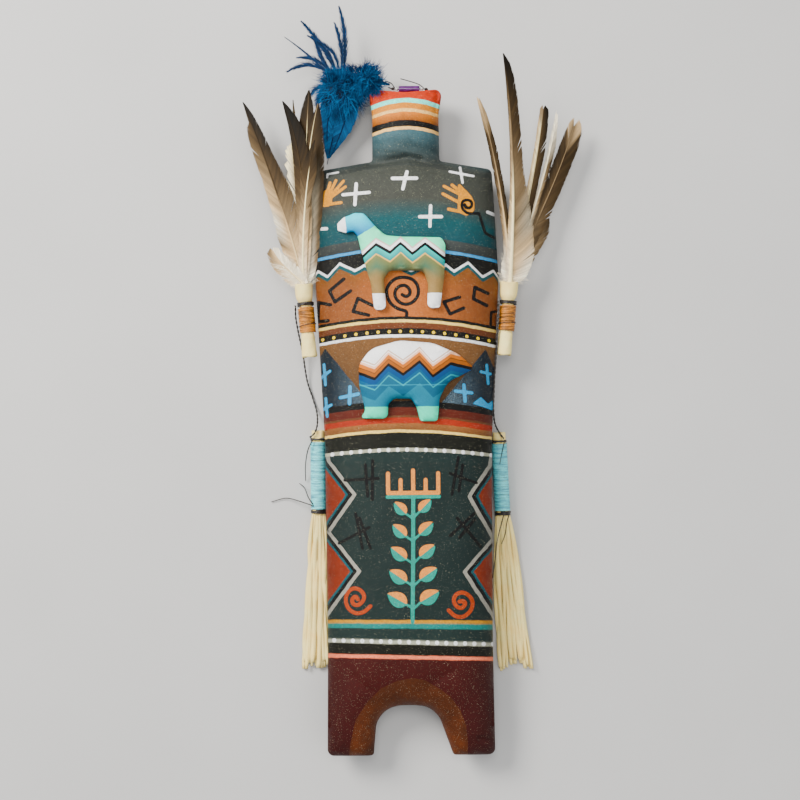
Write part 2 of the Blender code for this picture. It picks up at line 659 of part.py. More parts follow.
def make_tuft(parent):
    """The dyed feathers: fluffy lobes, hackles and the quills' stem, fused where they meet."""
    blue = material("blue_feather", (0.01, 0.22, 0.42))
    root = np.array(TUFT_ROOT)
    rows = 6
    angles = [math.pi * (0.5 - k / rows) for k in range(rows + 1)]
    profile = [(math.cos(a) if 0 < k < rows else 0.0, math.sin(a)) for k, a in enumerate(angles)]
    pieces = []
    for k, (centre, radii) in enumerate(TUFT_LOBES):
        points, faces = lathe(profile)
        points = [root + np.array(centre) + np.array(radii) * np.array(p) for p in points]
        name = "blue_feather_tuft" if k == 0 else f"lobe_{k}"
        pieces.append(add_mesh(name, points, faces, blue, parent))
    for k, (start, tip, width) in enumerate(HACKLES):
        points, faces = tapered_blade(root + np.array(start), root + np.array(tip), width, 0.0016)
        pieces.append(add_mesh(f"hackle_{k + 1}", points, faces, blue, parent))
    inside = root + np.array(TUFT_LOBES[1][0])
    points, faces = tapered_blade(inside, root, STEM_RADIUS * 2, STEM_RADIUS)
    pieces.append(add_mesh("tuft_stem", points, faces, blue, parent))
    join(pieces[0], pieces[1:])


def make_beads(parent):
    """Three beads in a row along X above the head, with a thread through their bores."""
    clear = material("clear_glass", (0.80, 0.84, 0.86), 0.1)
    purple = material("purple_stone", (0.30, 0.08, 0.36), 0.3)
    tube_end = TUBE_BEAD_START + TUBE_BEAD_LENGTH
    first = TUBE_BEAD_START - GAP - SEED_BEAD_LENGTH
    rows = (
        ("seed_bead_left", first, SEED_BEAD_LENGTH, SEED_BEAD_RADIUS, clear),
        ("tube_bead", TUBE_BEAD_START, TUBE_BEAD_LENGTH, TUBE_BEAD_RADIUS, purple),
        ("seed_bead_right", tube_end + GAP, SEED_BEAD_LENGTH, SEED_BEAD_RADIUS, clear),
    )
    for name, start, length, radius, finish in rows:
        points, faces = lathe(ring_profile(BEAD_BORE, radius, 0.0, length), BEAD_SIDES)
        bead = add_mesh(name, points, faces, finish, parent)
        bead.location = (start, BEAD_Y, BEAD_Z)
        bead.rotation_euler.z = -math.pi / 2
    half = BEAD_THREAD_DIAMETER / 2
    last = tube_end + GAP + SEED_BEAD_LENGTH + BEAD_THREAD_END
    turn = np.linspace(0, 2 * math.pi, 7)[:-1]
    rings = [
        [(x, BEAD_Y + half * math.cos(a), BEAD_Z + half * math.sin(a)) for a in turn]
        for x in (first - 2 * GAP, (first + last) / 2, last)
    ]
    points, faces = loft(rings)
    add_mesh("bead_thread", points, faces, material("black_thread", BLACK), parent)


def smooth_route(points, spacing):
    """Evenly spaced points on a Catmull-Rom curve through the route's own points."""
    p = np.array([2 * np.array(points[0]) - points[1], *points, 2 * np.array(points[-1]) - points[-2]])
    fine = []
    for i in range(1, len(p) - 2):
        for t in np.linspace(0, 1, 24, endpoint=False):
            fine.append(0.5 * (
                2 * p[i] + (p[i + 1] - p[i - 1]) * t
                + (2 * p[i - 1] - 5 * p[i] + 4 * p[i + 1] - p[i + 2]) * t * t
                + (3 * p[i] - p[i - 1] - 3 * p[i + 1] + p[i + 2]) * t**3
            ))
    fine = np.array([*fine, p[-2]])
    length = np.concatenate([[0], np.cumsum(np.linalg.norm(np.diff(fine, axis=0), axis=1))])
    marks = np.linspace(0, length[-1], max(2, round(length[-1] / spacing)) + 1)
    return np.stack([np.interp(marks, length, fine[:, k]) for k in range(3)], 1)


def make_thread(name, route, parent):
    """A plain round thread along its route."""
    curve = bpy.data.curves.new(name, "CURVE")
    curve.dimensions = "3D"
    curve.bevel_depth = THREAD_DIAMETER / 2
    curve.bevel_resolution = 2
    curve.use_fill_caps = True
    curve.materials.append(material("black_thread", BLACK))
    spline = curve.splines.new("POLY")
    points = smooth_route(route, 3 * THREAD_DIAMETER)
    spline.points.add(len(points) - 1)
    for spot, point in zip(spline.points, points):
        spot.co = (*point, 1.0)
    made = bpy.data.objects.new(name, curve)
    bpy.context.scene.collection.objects.link(made)
    made.parent = parent


def centre_on_origin(doll):
    """Moves the doll so that the middle of its box's underside is at the origin."""
    bpy.context.view_layer.update()
    corners = [
        made.matrix_world @ Vector(corner)
        for made in bpy.context.scene.objects
        if made.type == "MESH"
        for corner in made.bound_box
    ]
    low = [min(corner[k] for corner in corners) for k in range(3)]
    high = [max(corner[k] for corner in corners) for k in range(3)]
    doll.location = (-(low[0] + high[0]) / 2, -(low[1] + high[1]) / 2, -low[2])


def main():
    for made in list(bpy.data.objects):
        bpy.data.objects.remove(made)
    doll = bpy.data.objects.new("doll", None)
    bpy.context.scene.collection.objects.link(doll)
    body = make_body(doll)
    make_animal("horse", HORSE_OUTLINE, HORSE_LENGTH, HORSE_PLACE, body, doll)
    make_animal("bear", BEAR_OUTLINE, BEAR_LENGTH, BEAR_PLACE, body, doll)
    for side in ("left", "right"):
        make_bundle(side, doll)
        make_tassel(side, doll)
    make_tuft(doll)
    make_beads(doll)
    for name, route in THREAD_ROUTES.items():
        make_thread(name, route, doll)
    centre_on_origin(doll)


main()
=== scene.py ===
"""Spirit doll: looks of the stuffed painted figure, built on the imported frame.

Shapes are worked out in millimetres from the body's centre line and soles, with z up from the
surface that the doll lies on, and are put in place by the body's box in the frame.
Painted designs are placed by how they are seen from above, on the level of the side seams.
"""

import math

import bpy
import numpy as np
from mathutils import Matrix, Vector
from mathutils.bvhtree import BVHTree
from mathutils.geometry import delaunay_2d_cdt

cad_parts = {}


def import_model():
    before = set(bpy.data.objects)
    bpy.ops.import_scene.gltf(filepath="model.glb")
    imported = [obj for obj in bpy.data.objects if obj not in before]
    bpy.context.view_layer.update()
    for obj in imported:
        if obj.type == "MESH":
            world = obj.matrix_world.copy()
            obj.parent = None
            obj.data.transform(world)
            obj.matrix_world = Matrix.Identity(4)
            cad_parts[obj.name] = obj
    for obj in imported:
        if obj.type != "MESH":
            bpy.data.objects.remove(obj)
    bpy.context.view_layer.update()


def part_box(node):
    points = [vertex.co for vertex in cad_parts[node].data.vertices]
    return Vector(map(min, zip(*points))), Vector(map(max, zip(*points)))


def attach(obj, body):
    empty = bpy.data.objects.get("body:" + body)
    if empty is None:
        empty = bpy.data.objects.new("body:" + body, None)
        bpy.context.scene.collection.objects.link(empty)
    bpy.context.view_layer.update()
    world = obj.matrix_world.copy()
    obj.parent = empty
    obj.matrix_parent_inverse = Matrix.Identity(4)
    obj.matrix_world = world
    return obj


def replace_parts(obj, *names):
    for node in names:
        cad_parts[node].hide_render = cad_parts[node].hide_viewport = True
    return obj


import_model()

MM = 0.001
body_low, body_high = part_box("body")
ORIGIN = np.array(((body_low[0] + body_high[0]) / 2, body_low[1], 0.0))

# Camera, from the photograph: straight above, turned half a degree
CAMERA_AT = (-5.536, 243.3, 969.0)
CAMERA_TURN = -0.551
CAMERA_LENS = 62.39
SEAM = 19.0

# Threads that carry the tassels, as points on their routes
THREAD_WIDTH = 1.4
THREAD_ROUTES = {
    "thread_left": (
        (-76.4, 308.5, 21.2), (-76.6, 300.7, 16.8), (-75.2, 290.3, 12.0),
        (-72.8, 277.2, 6.8), (-70.2, 257.8, 2.4), (-66.2, 244.6, 1.1),
        (-63.4, 234.5, 3.0), (-63.0, 226.5, 9.4), (-64.8, 221.0, 11.8),
        (-68.2, 218.0, 9.9),
    ),
    "thread_right": (
        (62.0, 310.0, 27.6), (61.8, 298.5, 27.6), (61.3, 290.4, 26.8),
        (60.7, 280.0, 25.6), (59.9, 270.0, 25.2), (59.0, 258.0, 25.1),
        (58.3, 245.0, 25.3), (58.1, 235.0, 24.7), (59.2, 226.8, 20.2),
        (62.2, 220.8, 14.6), (65.8, 216.0, 11.9),
    ),
}

# Body outline, as in the frame
HEAD_TOP = 453.7
EAR = (25.6, 455.7)
HEAD_SIDE = (22.7, 438.0)
NECK = (23.0, 406.5)
SHOULDER = (58.8, 400.5)
CHEST = (62.8, 326.0)
WAIST = (57.2, 216.0)
SKIRT = (56.5, 80.0)
SOLE = (57.5, 0.0)
ARCH_TOP = 34.5
ARCH_LEFT = 25.8
ARCH_RIGHT = 28.8
ARCH_SHOULDER = 16.5
CORNER = 4.5
FRONT_PUFF = 27.5
BACK_PUFF = 24.0
BODY_REACH = 25.0
NECK_CREASE = 0.26
NECK_CREASE_WIDTH = 8.0

HORSE_LENGTH = 72.4
HORSE_PLACE = (-46.6, 303.2)
BEAR_LENGTH = 77.2
BEAR_PLACE = (-32.7, 229.0)
ANIMAL_SEAM = 1.6
ANIMAL_PUFF = 9.6
ANIMAL_REACH = 8.0

HORSE_OUTLINE = (
    (0.000, 0.810, 0.02), (0.060, 0.865, 0.05), (0.165, 0.905, 0.07), (0.250, 0.900, 0.06),
    (0.375, 0.755, 0.08), (0.450, 0.690, 0.10), (0.610, 0.675, 0.20), (0.965, 0.668, 0.05),
    (1.000, 0.600, 0.06), (0.985, 0.300, 0.30), (0.945, 0.020, 0.03), (0.825, 0.010, 0.05),
    (0.835, 0.240, 0.10), (0.795, 0.360, 0.06), (0.480, 0.365, 0.07), (0.430, 0.290, 0.06),
    (0.450, 0.005, 0.05), (0.340, 0.000, 0.04), (0.310, 0.240, 0.30), (0.225, 0.540, 0.20),
    (0.190, 0.690, 0.06), (0.150, 0.735, 0.05), (0.080, 0.720, 0.05), (0.005, 0.745, 0.02),
)[::-1]
BEAR_OUTLINE = (
    (0.000, 0.030, 0.04), (0.245, 0.025, 0.05), (0.250, 0.150, 0.06), (0.300, 0.197, 0.05),
    (0.450, 0.195, 0.05), (0.495, 0.120, 0.06), (0.525, 0.000, 0.03), (0.675, 0.000, 0.03),
    (0.695, 0.200, 0.15), (0.770, 0.340, 0.20), (0.890, 0.395, 0.20), (1.005, 0.455, 0.03),
    (0.860, 0.580, 0.30), (0.640, 0.675, 0.30), (0.350, 0.700, 0.30), (0.100, 0.630, 0.20),
    (-0.005, 0.490, 0.15), (0.000, 0.310, 0.30), (0.055, 0.090, 0.20),
)


def world(points):
    """Doll millimetres to frame metres."""
    return ORIGIN + np.asarray(points, dtype=float) * MM


# Camera, lights and floor

camera_data = bpy.data.cameras.new("camera")
camera_data.lens = CAMERA_LENS
camera_data.sensor_width = 36.0
camera_data.clip_start = 0.01
camera = bpy.data.objects.new("camera", camera_data)
camera.location = world(CAMERA_AT)
camera.rotation_euler = (0.0, 0.0, math.radians(CAMERA_TURN))
bpy.context.scene.collection.objects.link(camera)
bpy.context.scene.camera = camera


def area_light(name, place, size, power, colour):
    """A square light that faces the frame's origin."""
    data = bpy.data.lights.new(name, "AREA")
    data.size = size
    data.energy = power
    data.color = colour
    made = bpy.data.objects.new(name, data)
    made.location = place
    made.rotation_euler = Vector(place).to_track_quat("Z", "Y").to_euler()
    bpy.context.scene.collection.objects.link(made)


area_light("key_light", (-0.95, 0.80, 1.10), 0.65, 54.0, (1.0, 0.975, 0.935))
area_light("fill_light", (0.9, -0.35, 1.2), 1.2, 7.0, (0.98, 0.99, 1.0))
area_light("top_light", (-0.04, 0.30, 1.35), 0.45, 8.0, (1.0, 0.985, 0.96))


# Shader helpers

SOFT_EDGE = 0.07
STOP_GAP = 1e-4


def srgb(red, green, blue):
    """A colour from 0 to 255 per channel as linear values."""
    return tuple(
        c / 12.92 if c <= 0.04045 else ((c + 0.055) / 1.055) ** 2.4
        for c in (red / 255, green / 255, blue / 255)
    ) + (1.0,)


class Finish:
    """A material's node tree, with short calls for the nodes that it needs."""

    def __init__(self, name):
        self.material = bpy.data.materials.new(name)
        self.material.use_nodes = True
        self.tree = self.material.node_tree
        self.shader = self.tree.nodes["Principled BSDF"]

    def plug(self, socket, value):
        if isinstance(value, bpy.types.NodeSocket):
            self.tree.links.new(value, socket)
        elif value is not None:
            socket.default_value = value

    def node(self, kind, inputs=None, **settings):
        made = self.tree.nodes.new(kind)
        for key, value in settings.items():
            setattr(made, key, value)
        for key, value in (inputs or {}).items():
            self.plug(made.inputs[key], value)
        return made

    def place(self):
        return self.node("ShaderNodeTexCoord").outputs["Object"]

    def stretched(self, scale):
        return self.node("ShaderNodeMapping", {"Vector": self.place(), "Scale": scale}).outputs[0]

    def field(self, name):
        return self.node("ShaderNodeAttribute", attribute_name=name).outputs["Fac"]

    def colours(self, name):
        return self.node("ShaderNodeAttribute", attribute_name=name).outputs["Color"]

    def maths(self, operation, a, b=0.0):
        return self.node("ShaderNodeMath", {0: a, 1: b}, operation=operation).outputs[0]

    def times(self, a, b):
        return self.maths("MULTIPLY", a, b)

    def plus(self, a, b):
        return self.maths("ADD", a, b)

    def noise(self, scale, detail=2.0, roughness=0.5, place=None):
        inputs = {"Vector": place or self.place(), "Scale": scale, "Detail": detail,
                  "Roughness": roughness}
        return self.node("ShaderNodeTexNoise", inputs).outputs["Fac"]

    def rescale(self, value, low, high, to_low=0.0, to_high=1.0):
        inputs = {"Value": value, "From Min": low, "From Max": high, "To Min": to_low,
                  "To Max": to_high}
        return self.node("ShaderNodeMapRange", inputs).outputs["Result"]

    def above(self, value, level, edge=SOFT_EDGE):
        """1 where a value is above a level and 0 below it, with a narrow soft edge."""
        return self.rescale(value, level - edge, level + edge)

    def below(self, value, level, edge=SOFT_EDGE):
        return self.rescale(value, level - edge, level + edge, 1.0, 0.0)

    def between(self, value, low, high):
        return self.times(self.above(value, low), self.below(value, high))

    def inside(self, value):
        """1 where a distance field is below zero."""
        return self.below(value, 0.0)

    def mix(self, share, a, b, blend="MIX"):
        made = self.node("ShaderNodeMix", data_type="RGBA", blend_type=blend)
        self.plug(made.inputs[0], share)
        self.plug(made.inputs[6], a)
        self.plug(made.inputs[7], b)
        return made.outputs[2]

    def shaded(self, colour, tone):
        """A colour made lighter or darker by a tone round 1."""
        grey = self.node("ShaderNodeCombineColor", {"Red": tone, "Green": tone, "Blue": tone})
        return self.mix(1.0, colour, grey.outputs[0], "MULTIPLY")

    def ramp(self, value, bands):
        """Colours over a value from bands of (from, to, colour) or (from, to, colour, to colour)."""
        low, high = bands[0][0], bands[-1][1]
        made = self.node("ShaderNodeValToRGB", {"Fac": self.rescale(value, low, high)})
        stops = []
        for band in bands:
            stops.append(((band[0] - low) / (high - low) + STOP_GAP, band[2]))
            stops.append(((band[1] - low) / (high - low) - STOP_GAP, band[-1]))
        elements = made.color_ramp.elements
        elements[0].position, elements[0].color = stops[0]
        elements[1].position, elements[1].color = stops[-1]
        for position, colour in stops[1:-1]:
            elements.new(position).color = colour
        return made.outputs["Color"]

    def bump(self, height, strength, distance, normal=None):
        inputs = {"Height": height, "Strength": strength, "Distance": distance, "Normal": normal}
        return self.node("ShaderNodeBump", inputs).outputs["Normal"]

    def weave(self, pitch):
        """Height of a plain weave with threads along x and y, pitch in metres."""
        inputs = {"Vector": self.place(), "Scale": 2 * math.pi / pitch / 20, "Distortion": 1.2,
                  "Detail": 1.0, "Detail Scale": 0.6}
        waves = [
            self.node("ShaderNodeTexWave", inputs, bands_direction=direction).outputs["Fac"]
            for direction in ("X", "Y")
        ]
        return self.maths("MAXIMUM", waves[0], waves[1])

    def finish(self, colour, roughness, normal=None, **sockets):
        self.plug(self.shader.inputs["Base Color"], colour)
        self.plug(self.shader.inputs["Roughness"], roughness)
        self.plug(self.shader.inputs["Normal"], normal)
        for key, value in sockets.items():
            self.plug(self.shader.inputs[key.replace("_", " ")], value)
        return self.material


# Mesh helpers

def add_mesh(name, points, faces, material, fields=None, colours=None):
    """A mesh piece from doll millimetres, riding on the frame, with its per-point fields."""
    mesh = bpy.data.meshes.new(name)
    mesh.from_pydata(world(points).tolist(), [], [tuple(int(i) for i in f) for f in faces])
    for key, values in (fields or {}).items():
        layer = mesh.attributes.new(key, "FLOAT", "POINT")
        layer.data.foreach_set("value", np.asarray(values, dtype=np.float32))
    if colours is not None:
        layer = mesh.color_attributes.new("tint", "FLOAT_COLOR", "POINT")
        layer.data.foreach_set("color", np.asarray(colours, dtype=np.float32).ravel())
    mesh.materials.append(material)
    mesh.shade_smooth()
    made = bpy.data.objects.new(name, mesh)
    bpy.context.scene.collection.objects.link(made)
    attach(made, "root")
    return made


class Pile:
    """Collects many small sheets and tubes, to be made into one mesh."""

    def __init__(self):
        self.points = []
        self.faces = []
        self.colours = []
        self.count = 0

    def add(self, points, faces, colour=None):
        self.points.append(points)
        self.faces.extend(tuple(i + self.count for i in face) for face in faces)
        if colour is not None:
            self.colours.append(colour)
        self.count += len(points)

    def grid(self, rows, colour=None, wrap=False):
        """A sheet through rows of points, joined round if wrap is true, with a colour for each row."""
        rows = np.asarray(rows, dtype=float)
        count, width = rows.shape[:2]
        faces = [
            (i * width + j, i * width + (j + 1) % width,
             (i + 1) * width + (j + 1) % width, (i + 1) * width + j)
            for i in range(count - 1)
            for j in range(width if wrap else width - 1)
        ]
        if colour is not None:
            colour = np.repeat(colour, width, axis=0)
        self.add(rows.reshape(-1, 3), faces, colour)

    def ribbons(self, left, right, colour):
        """Many narrow strips at once: edges (strip, step, 3) and a colour for each strip and step."""
        count, steps = left.shape[:2]
        first = (np.arange(count)[:, None] * 2 * steps + 2 * np.arange(steps - 1)).reshape(-1)
        faces = np.stack([first, first + 1, first + 3, first + 2], 1).tolist()
        points = np.stack([left, right], 2).reshape(-1, 3)
        self.add(points, faces, np.repeat(colour.reshape(-1, 3), 2, axis=0))

    def tube(self, line, radius, colour=None, sides=6):
        """A closed round tube along a line of points."""
        line = np.asarray(line, dtype=float)
        radius = np.broadcast_to(np.asarray(radius, dtype=float), len(line))
        self.closed(ring_rows(line, radius, sides), colour)

    def closed(self, rings, colour=None):
        """A closed tube through rings of points."""
        start, sides = self.count, rings.shape[1]
        self.grid(rings, colour, wrap=True)
        self.faces.append(tuple(start + k for k in reversed(range(sides))))
        self.faces.append(tuple(self.count - sides + k for k in range(sides)))

    def make(self, name, material, slot):
        colours = None
        if self.colours:
            colours = np.vstack(self.colours)
            colours = np.hstack([colours, np.ones((len(colours), 1))])
        return add_mesh(name, np.vstack(self.points), self.faces, material, colours=colours)


def ring_rows(line, radius, sides):
    """Rings of points round a line, turned as little as possible from one to the next."""
    forward = np.gradient(line, axis=0)
    forward /= np.maximum(np.linalg.norm(forward, axis=1), 1e-9)[:, None]
    across = np.cross(forward[0], (0.0, 0.0, 1.0))
    if np.linalg.norm(across) < 1e-3:
        across = np.array((1.0, 0.0, 0.0))
    angles = 2 * np.pi * np.arange(sides) / sides
    rows = []
    for spot, ahead, wide in zip(line, forward, radius):
        across = across - ahead * (across @ ahead)
        across /= np.linalg.norm(across)
        up = np.cross(ahead, across)
        rows.append(
            spot + wide * (np.cos(angles)[:, None] * across + np.sin(angles)[:, None] * up)
        )
    return np.array(rows)


def smooth_line(points, count):
    """Evenly spaced points on a Catmull-Rom curve through a few points."""
    p = np.array(points, dtype=float)
    p = np.vstack([2 * p[0] - p[1], p, 2 * p[-1] - p[-2]])
    t = np.linspace(0, 1, 24, endpoint=False)[:, None]
    fine = np.vstack([
        0.5 * (
            2 * p[i] + (p[i + 1] - p[i - 1]) * t
            + (2 * p[i - 1] - 5 * p[i] + 4 * p[i + 1] - p[i + 2]) * t * t
            + (3 * p[i] - p[i - 1] - 3 * p[i + 1] + p[i + 2]) * t**3
        )
        for i in range(1, len(p) - 2)
    ] + [p[-2:-1]])
    length = np.concatenate([[0], np.cumsum(np.linalg.norm(np.diff(fine, axis=0), axis=1))])
    marks = np.linspace(0, length[-1], count)
    return np.stack([np.interp(marks, length, fine[:, k]) for k in range(p.shape[1])], 1)


def line_length(line):
    return float(np.linalg.norm(np.diff(line, axis=0), axis=1).sum())


# Threads from the sleeves to the tassels: two strands twisted together

def thread_finish():
    kit = Finish("black_thread")
    grain = kit.noise(2600.0, 3.0)
    colour = kit.mix(grain, srgb(14, 13, 12), srgb(52, 46, 42))
    normal = kit.bump(grain, 0.5, 0.0002)
    return kit.finish(colour, kit.rescale(grain, 0.3, 0.8, 0.35, 0.6), normal)


BLACK_THREAD = thread_finish()
ROUTE_POINTS = 25
STRAND_POINTS = 160
TWIST_PITCH = 6.5

for name, route in THREAD_ROUTES.items():
    path = smooth_line(route, ROUTE_POINTS)
    centre = smooth_line(route, STRAND_POINTS)
    length = line_length(path)
    rings = ring_rows(centre, np.full(STRAND_POINTS, THREAD_WIDTH * 0.24), 4)
    across, up = rings[:, 0] - centre, rings[:, 1] - centre
    pile = Pile()
    for strand in range(2):
        phase = np.linspace(0, 2 * np.pi * length / TWIST_PITCH, STRAND_POINTS) + np.pi * strand
        line = centre + np.cos(phase)[:, None] * across + np.sin(phase)[:, None] * up
        pile.tube(line, THREAD_WIDTH * 0.26, sides=7)
    cord = pile.make(f"cord_{name}", BLACK_THREAD, "black_thread")
    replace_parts(cord, name)


# Floor and sky

FLOOR_HALF = 3.0
FLOOR_DROP = 0.0002
SKY_COLOUR = (0.95, 0.97, 1.0, 1.0)
SKY_STRENGTH = 0.68


def floor_finish():
    kit = Finish("floor")
    grain = kit.noise(9.0, 3.0)
    colour = kit.mix(grain, srgb(182, 181, 179), srgb(192, 191, 189))
    return kit.finish(colour, 0.9)


floor_mesh = bpy.data.meshes.new("floor")
floor_mesh.from_pydata(
    [(x * FLOOR_HALF, y * FLOOR_HALF, -FLOOR_DROP) for x, y in ((-1, -1), (1, -1), (1, 1), (-1, 1))],
    [], [(0, 1, 2, 3)],
)
floor_mesh.materials.append(floor_finish())
floor = bpy.data.objects.new("floor", floor_mesh)
bpy.context.scene.collection.objects.link(floor)

sky = bpy.data.worlds.new("sky")
sky.use_nodes = True
sky.node_tree.nodes["Background"].inputs["Color"].default_value = SKY_COLOUR
sky.node_tree.nodes["Background"].inputs["Strength"].default_value = SKY_STRENGTH
bpy.context.scene.world = sky


# Stuffed shapes

def rounded_outline(corners, step):
    """A closed outline, anticlockwise, with each corner (x, y, radius) rounded by an arc."""
    count = len(corners)
    bends = []
    for i, (x, y, radius) in enumerate(corners):
        here = np.array((x, y))
        back = np.array(corners[i - 1][:2]) - here
        ahead = np.array(corners[(i + 1) % count][:2]) - here
        room = 0.48 * min(np.linalg.norm(back), np.linalg.norm(ahead))
        back = back / np.linalg.norm(back)
        ahead = ahead / np.linalg.norm(ahead)
        half = math.acos(max(-1.0, min(1.0, float(back @ ahead)))) / 2
        if math.pi / 2 - half < 1e-3:
            bends.append([here])
            continue
        reach = min(radius / math.tan(half), room)
        radius = reach * math.tan(half)
        middle = (back + ahead) / np.linalg.norm(back + ahead)
        centre = here + middle * radius / math.sin(half)
        sweep = math.pi - 2 * half
        turns = max(2, math.ceil(radius * sweep / step))
        first = here + back * reach - centre
        last = here + ahead * reach - centre
        bends.append([
            centre
            + (math.sin(sweep * (1 - t)) * first + math.sin(sweep * t) * last) / math.sin(sweep)
            for t in np.linspace(0, 1, turns + 1)
        ])
    outline = []
    for i, bend in enumerate(bends):
        outline.extend(bend)
        gap = bends[(i + 1) % count][0] - bend[-1]
        parts = math.ceil(np.linalg.norm(gap) / step - 0.2)
        outline.extend(bend[-1] + gap * k / parts for k in range(1, parts))
    return np.array(outline)


def outline_distance(points, outline, closed=True):
    """Distance from each point to an outline, below zero outside it if it is closed."""
    start = outline if closed else outline[:-1]
    end = np.roll(outline, -1, axis=0) if closed else outline[1:]
    edge = end - start
    square = np.maximum((edge * edge).sum(1), 1e-12)
    rise = np.where(np.abs(edge[:, 1]) < 1e-12, 1e-12, edge[:, 1])
    found = []
    for part in np.array_split(points, max(1, len(points) * len(start) // 4_000_000)):
        offset = part[:, None, :] - start[None, :, :]
        share = np.clip((offset * edge).sum(2) / square, 0, 1)
        distance = np.sqrt(((offset - share[:, :, None] * edge) ** 2).sum(2)).min(1)
        if closed:
            above = (start[None, :, 1] > part[:, None, 1]) != (end[None, :, 1] > part[:, None, 1])
            crossing = start[:, 0] + (part[:, None, 1] - start[None, :, 1]) / rise * edge[:, 0]
            inside = (above & (part[:, None, 0] < crossing)).sum(1) % 2 == 1
            distance = np.where(inside, distance, -distance)
        found.append(distance)
    return np.concatenate(found)


def cloth_sheet(outline, rings, spacing):
    """Triangles over an outline, with rows of points beside the seam and an even grid inside."""
    tangent = np.roll(outline, -1, axis=0) - np.roll(outline, 1, axis=0)
    inward = np.stack([-tangent[:, 1], tangent[:, 0]], 1)
    inward /= np.linalg.norm(inward, axis=1)[:, None]
    inner = []
    for depth in rings:
        ring = outline + inward * depth
        inner.append(ring[outline_distance(ring, outline) > 0.93 * depth])
    low, high = outline.min(0), outline.max(0)
    rows = np.arange(low[1], high[1], spacing * math.sqrt(3) / 2)
    grid = np.array([
        (x + (k % 2) * spacing / 2, y)
        for k, y in enumerate(rows)
        for x in np.arange(low[0] - spacing, high[0] + spacing, spacing)
    ])
    clear = rings[-1] + 0.5 * spacing
    inner.append(grid[outline_distance(grid, outline) > clear])
    points = np.vstack([outline, *inner])
    count = len(outline)
    edges = [(i, (i + 1) % count) for i in range(count)]
    made = delaunay_2d_cdt([Vector(p) for p in points], edges, [list(range(count))], 1, 1e-9)
    return np.array([tuple(p) for p in made[0]]), np.array([tuple(f) for f in made[2]])


def solve_puff(points, triangles, seam, reach):
    """How far the stuffing pushes each point out, from 0 on the seam towards 1 in a wide middle."""
    stiffness = np.zeros((len(points), len(points)))
    mass = np.zeros(len(points))
    for k in range(3):
        i, j, opposite = (triangles[:, (k + m) % 3] for m in range(3))
        a, b = points[i] - points[opposite], points[j] - points[opposite]
        area = np.abs(a[:, 0] * b[:, 1] - a[:, 1] * b[:, 0])
        weight = (a * b).sum(1) / area / 2
        np.add.at(stiffness, (i, i), weight)
        np.add.at(stiffness, (j, j), weight)
        np.add.at(stiffness, (i, j), -weight)
        np.add.at(stiffness, (j, i), -weight)
        np.add.at(mass, opposite, area / 6)
    load = mass / reach**2
    free = ~seam
    height = np.zeros(len(points))
    system = stiffness + np.diag(load)
    height[free] = np.linalg.solve(system[np.ix_(free, free)], load[free])
    return height


def triangle_edges(triangles):
    edges = np.vstack([triangles[:, [0, 1]], triangles[:, [1, 2]], triangles[:, [2, 0]]])
    return np.unique(np.sort(edges, axis=1), axis=0)


class Puff:
    """The stuffing's push over an outline, solved on coarse points and read at any fine ones."""

    def __init__(self, outline, reach, spacing):
        self.outline = outline
        self.scale = reach * 0.35
        flat, triangles = cloth_sheet(outline, (spacing * 0.3, spacing * 0.8), spacing)
        distance = outline_distance(flat, outline)
        seam = distance < 1e-6
        push = solve_puff(flat, triangles, seam, reach)
        ratio = np.where(seam, 0.0, push / np.maximum(self.near(distance), 1e-9))
        edges = triangle_edges(triangles)
        loose = np.where(seam, 1.0, 0.0)
        for _ in range(2):
            total = np.zeros(len(flat))
            number = np.zeros(len(flat))
            for a, b in ((0, 1), (1, 0)):
                good = loose[edges[:, b]] == 0
                np.add.at(total, edges[good, a], ratio[edges[good, b]])
                np.add.at(number, edges[good, a], 1)
            fill = (loose == 1) & (number > 0)
            ratio[fill] = total[fill] / number[fill]
            loose[fill] = 0
        self.lookup = BVHTree.FromPolygons(
            [(x, y, float(r)) for (x, y), r in zip(flat, ratio)], triangles.tolist()
        )

    def near(self, distance):
        return 1 - np.exp(-np.maximum(distance, 0) / self.scale)

    def at(self, points):
        """Push from 0 to 1 at each point, and its distance from the seam."""
        distance = np.maximum(outline_distance(points, self.outline), 0)
        ratio = np.zeros(len(points))
        down = Vector((0, 0, -1))
        for k, (x, y) in enumerate(points):
            hit = self.lookup.ray_cast(Vector((x, y, 50.0)), down)[0]
            if hit is None:
                hit = self.lookup.find_nearest(Vector((x, y, 0.5)))[0]
            ratio[k] = hit.z
        return np.sqrt(np.clip(ratio * self.near(distance), 0, 1)), distance


def seam_wave(points, pitch):
    """Small puckers of the cloth along a seam, from -1 to 1."""
    turn = np.arctan2(points[:, 1] - points[:, 1].mean(), points[:, 0])
    along = points[:, 1] + points[:, 0] * 0.7 + 3.0 * np.sin(turn * 5)
    return np.sin(along * 2 * np.pi / pitch) * (0.6 + 0.4 * np.sin(along * 0.23 + 1.3))


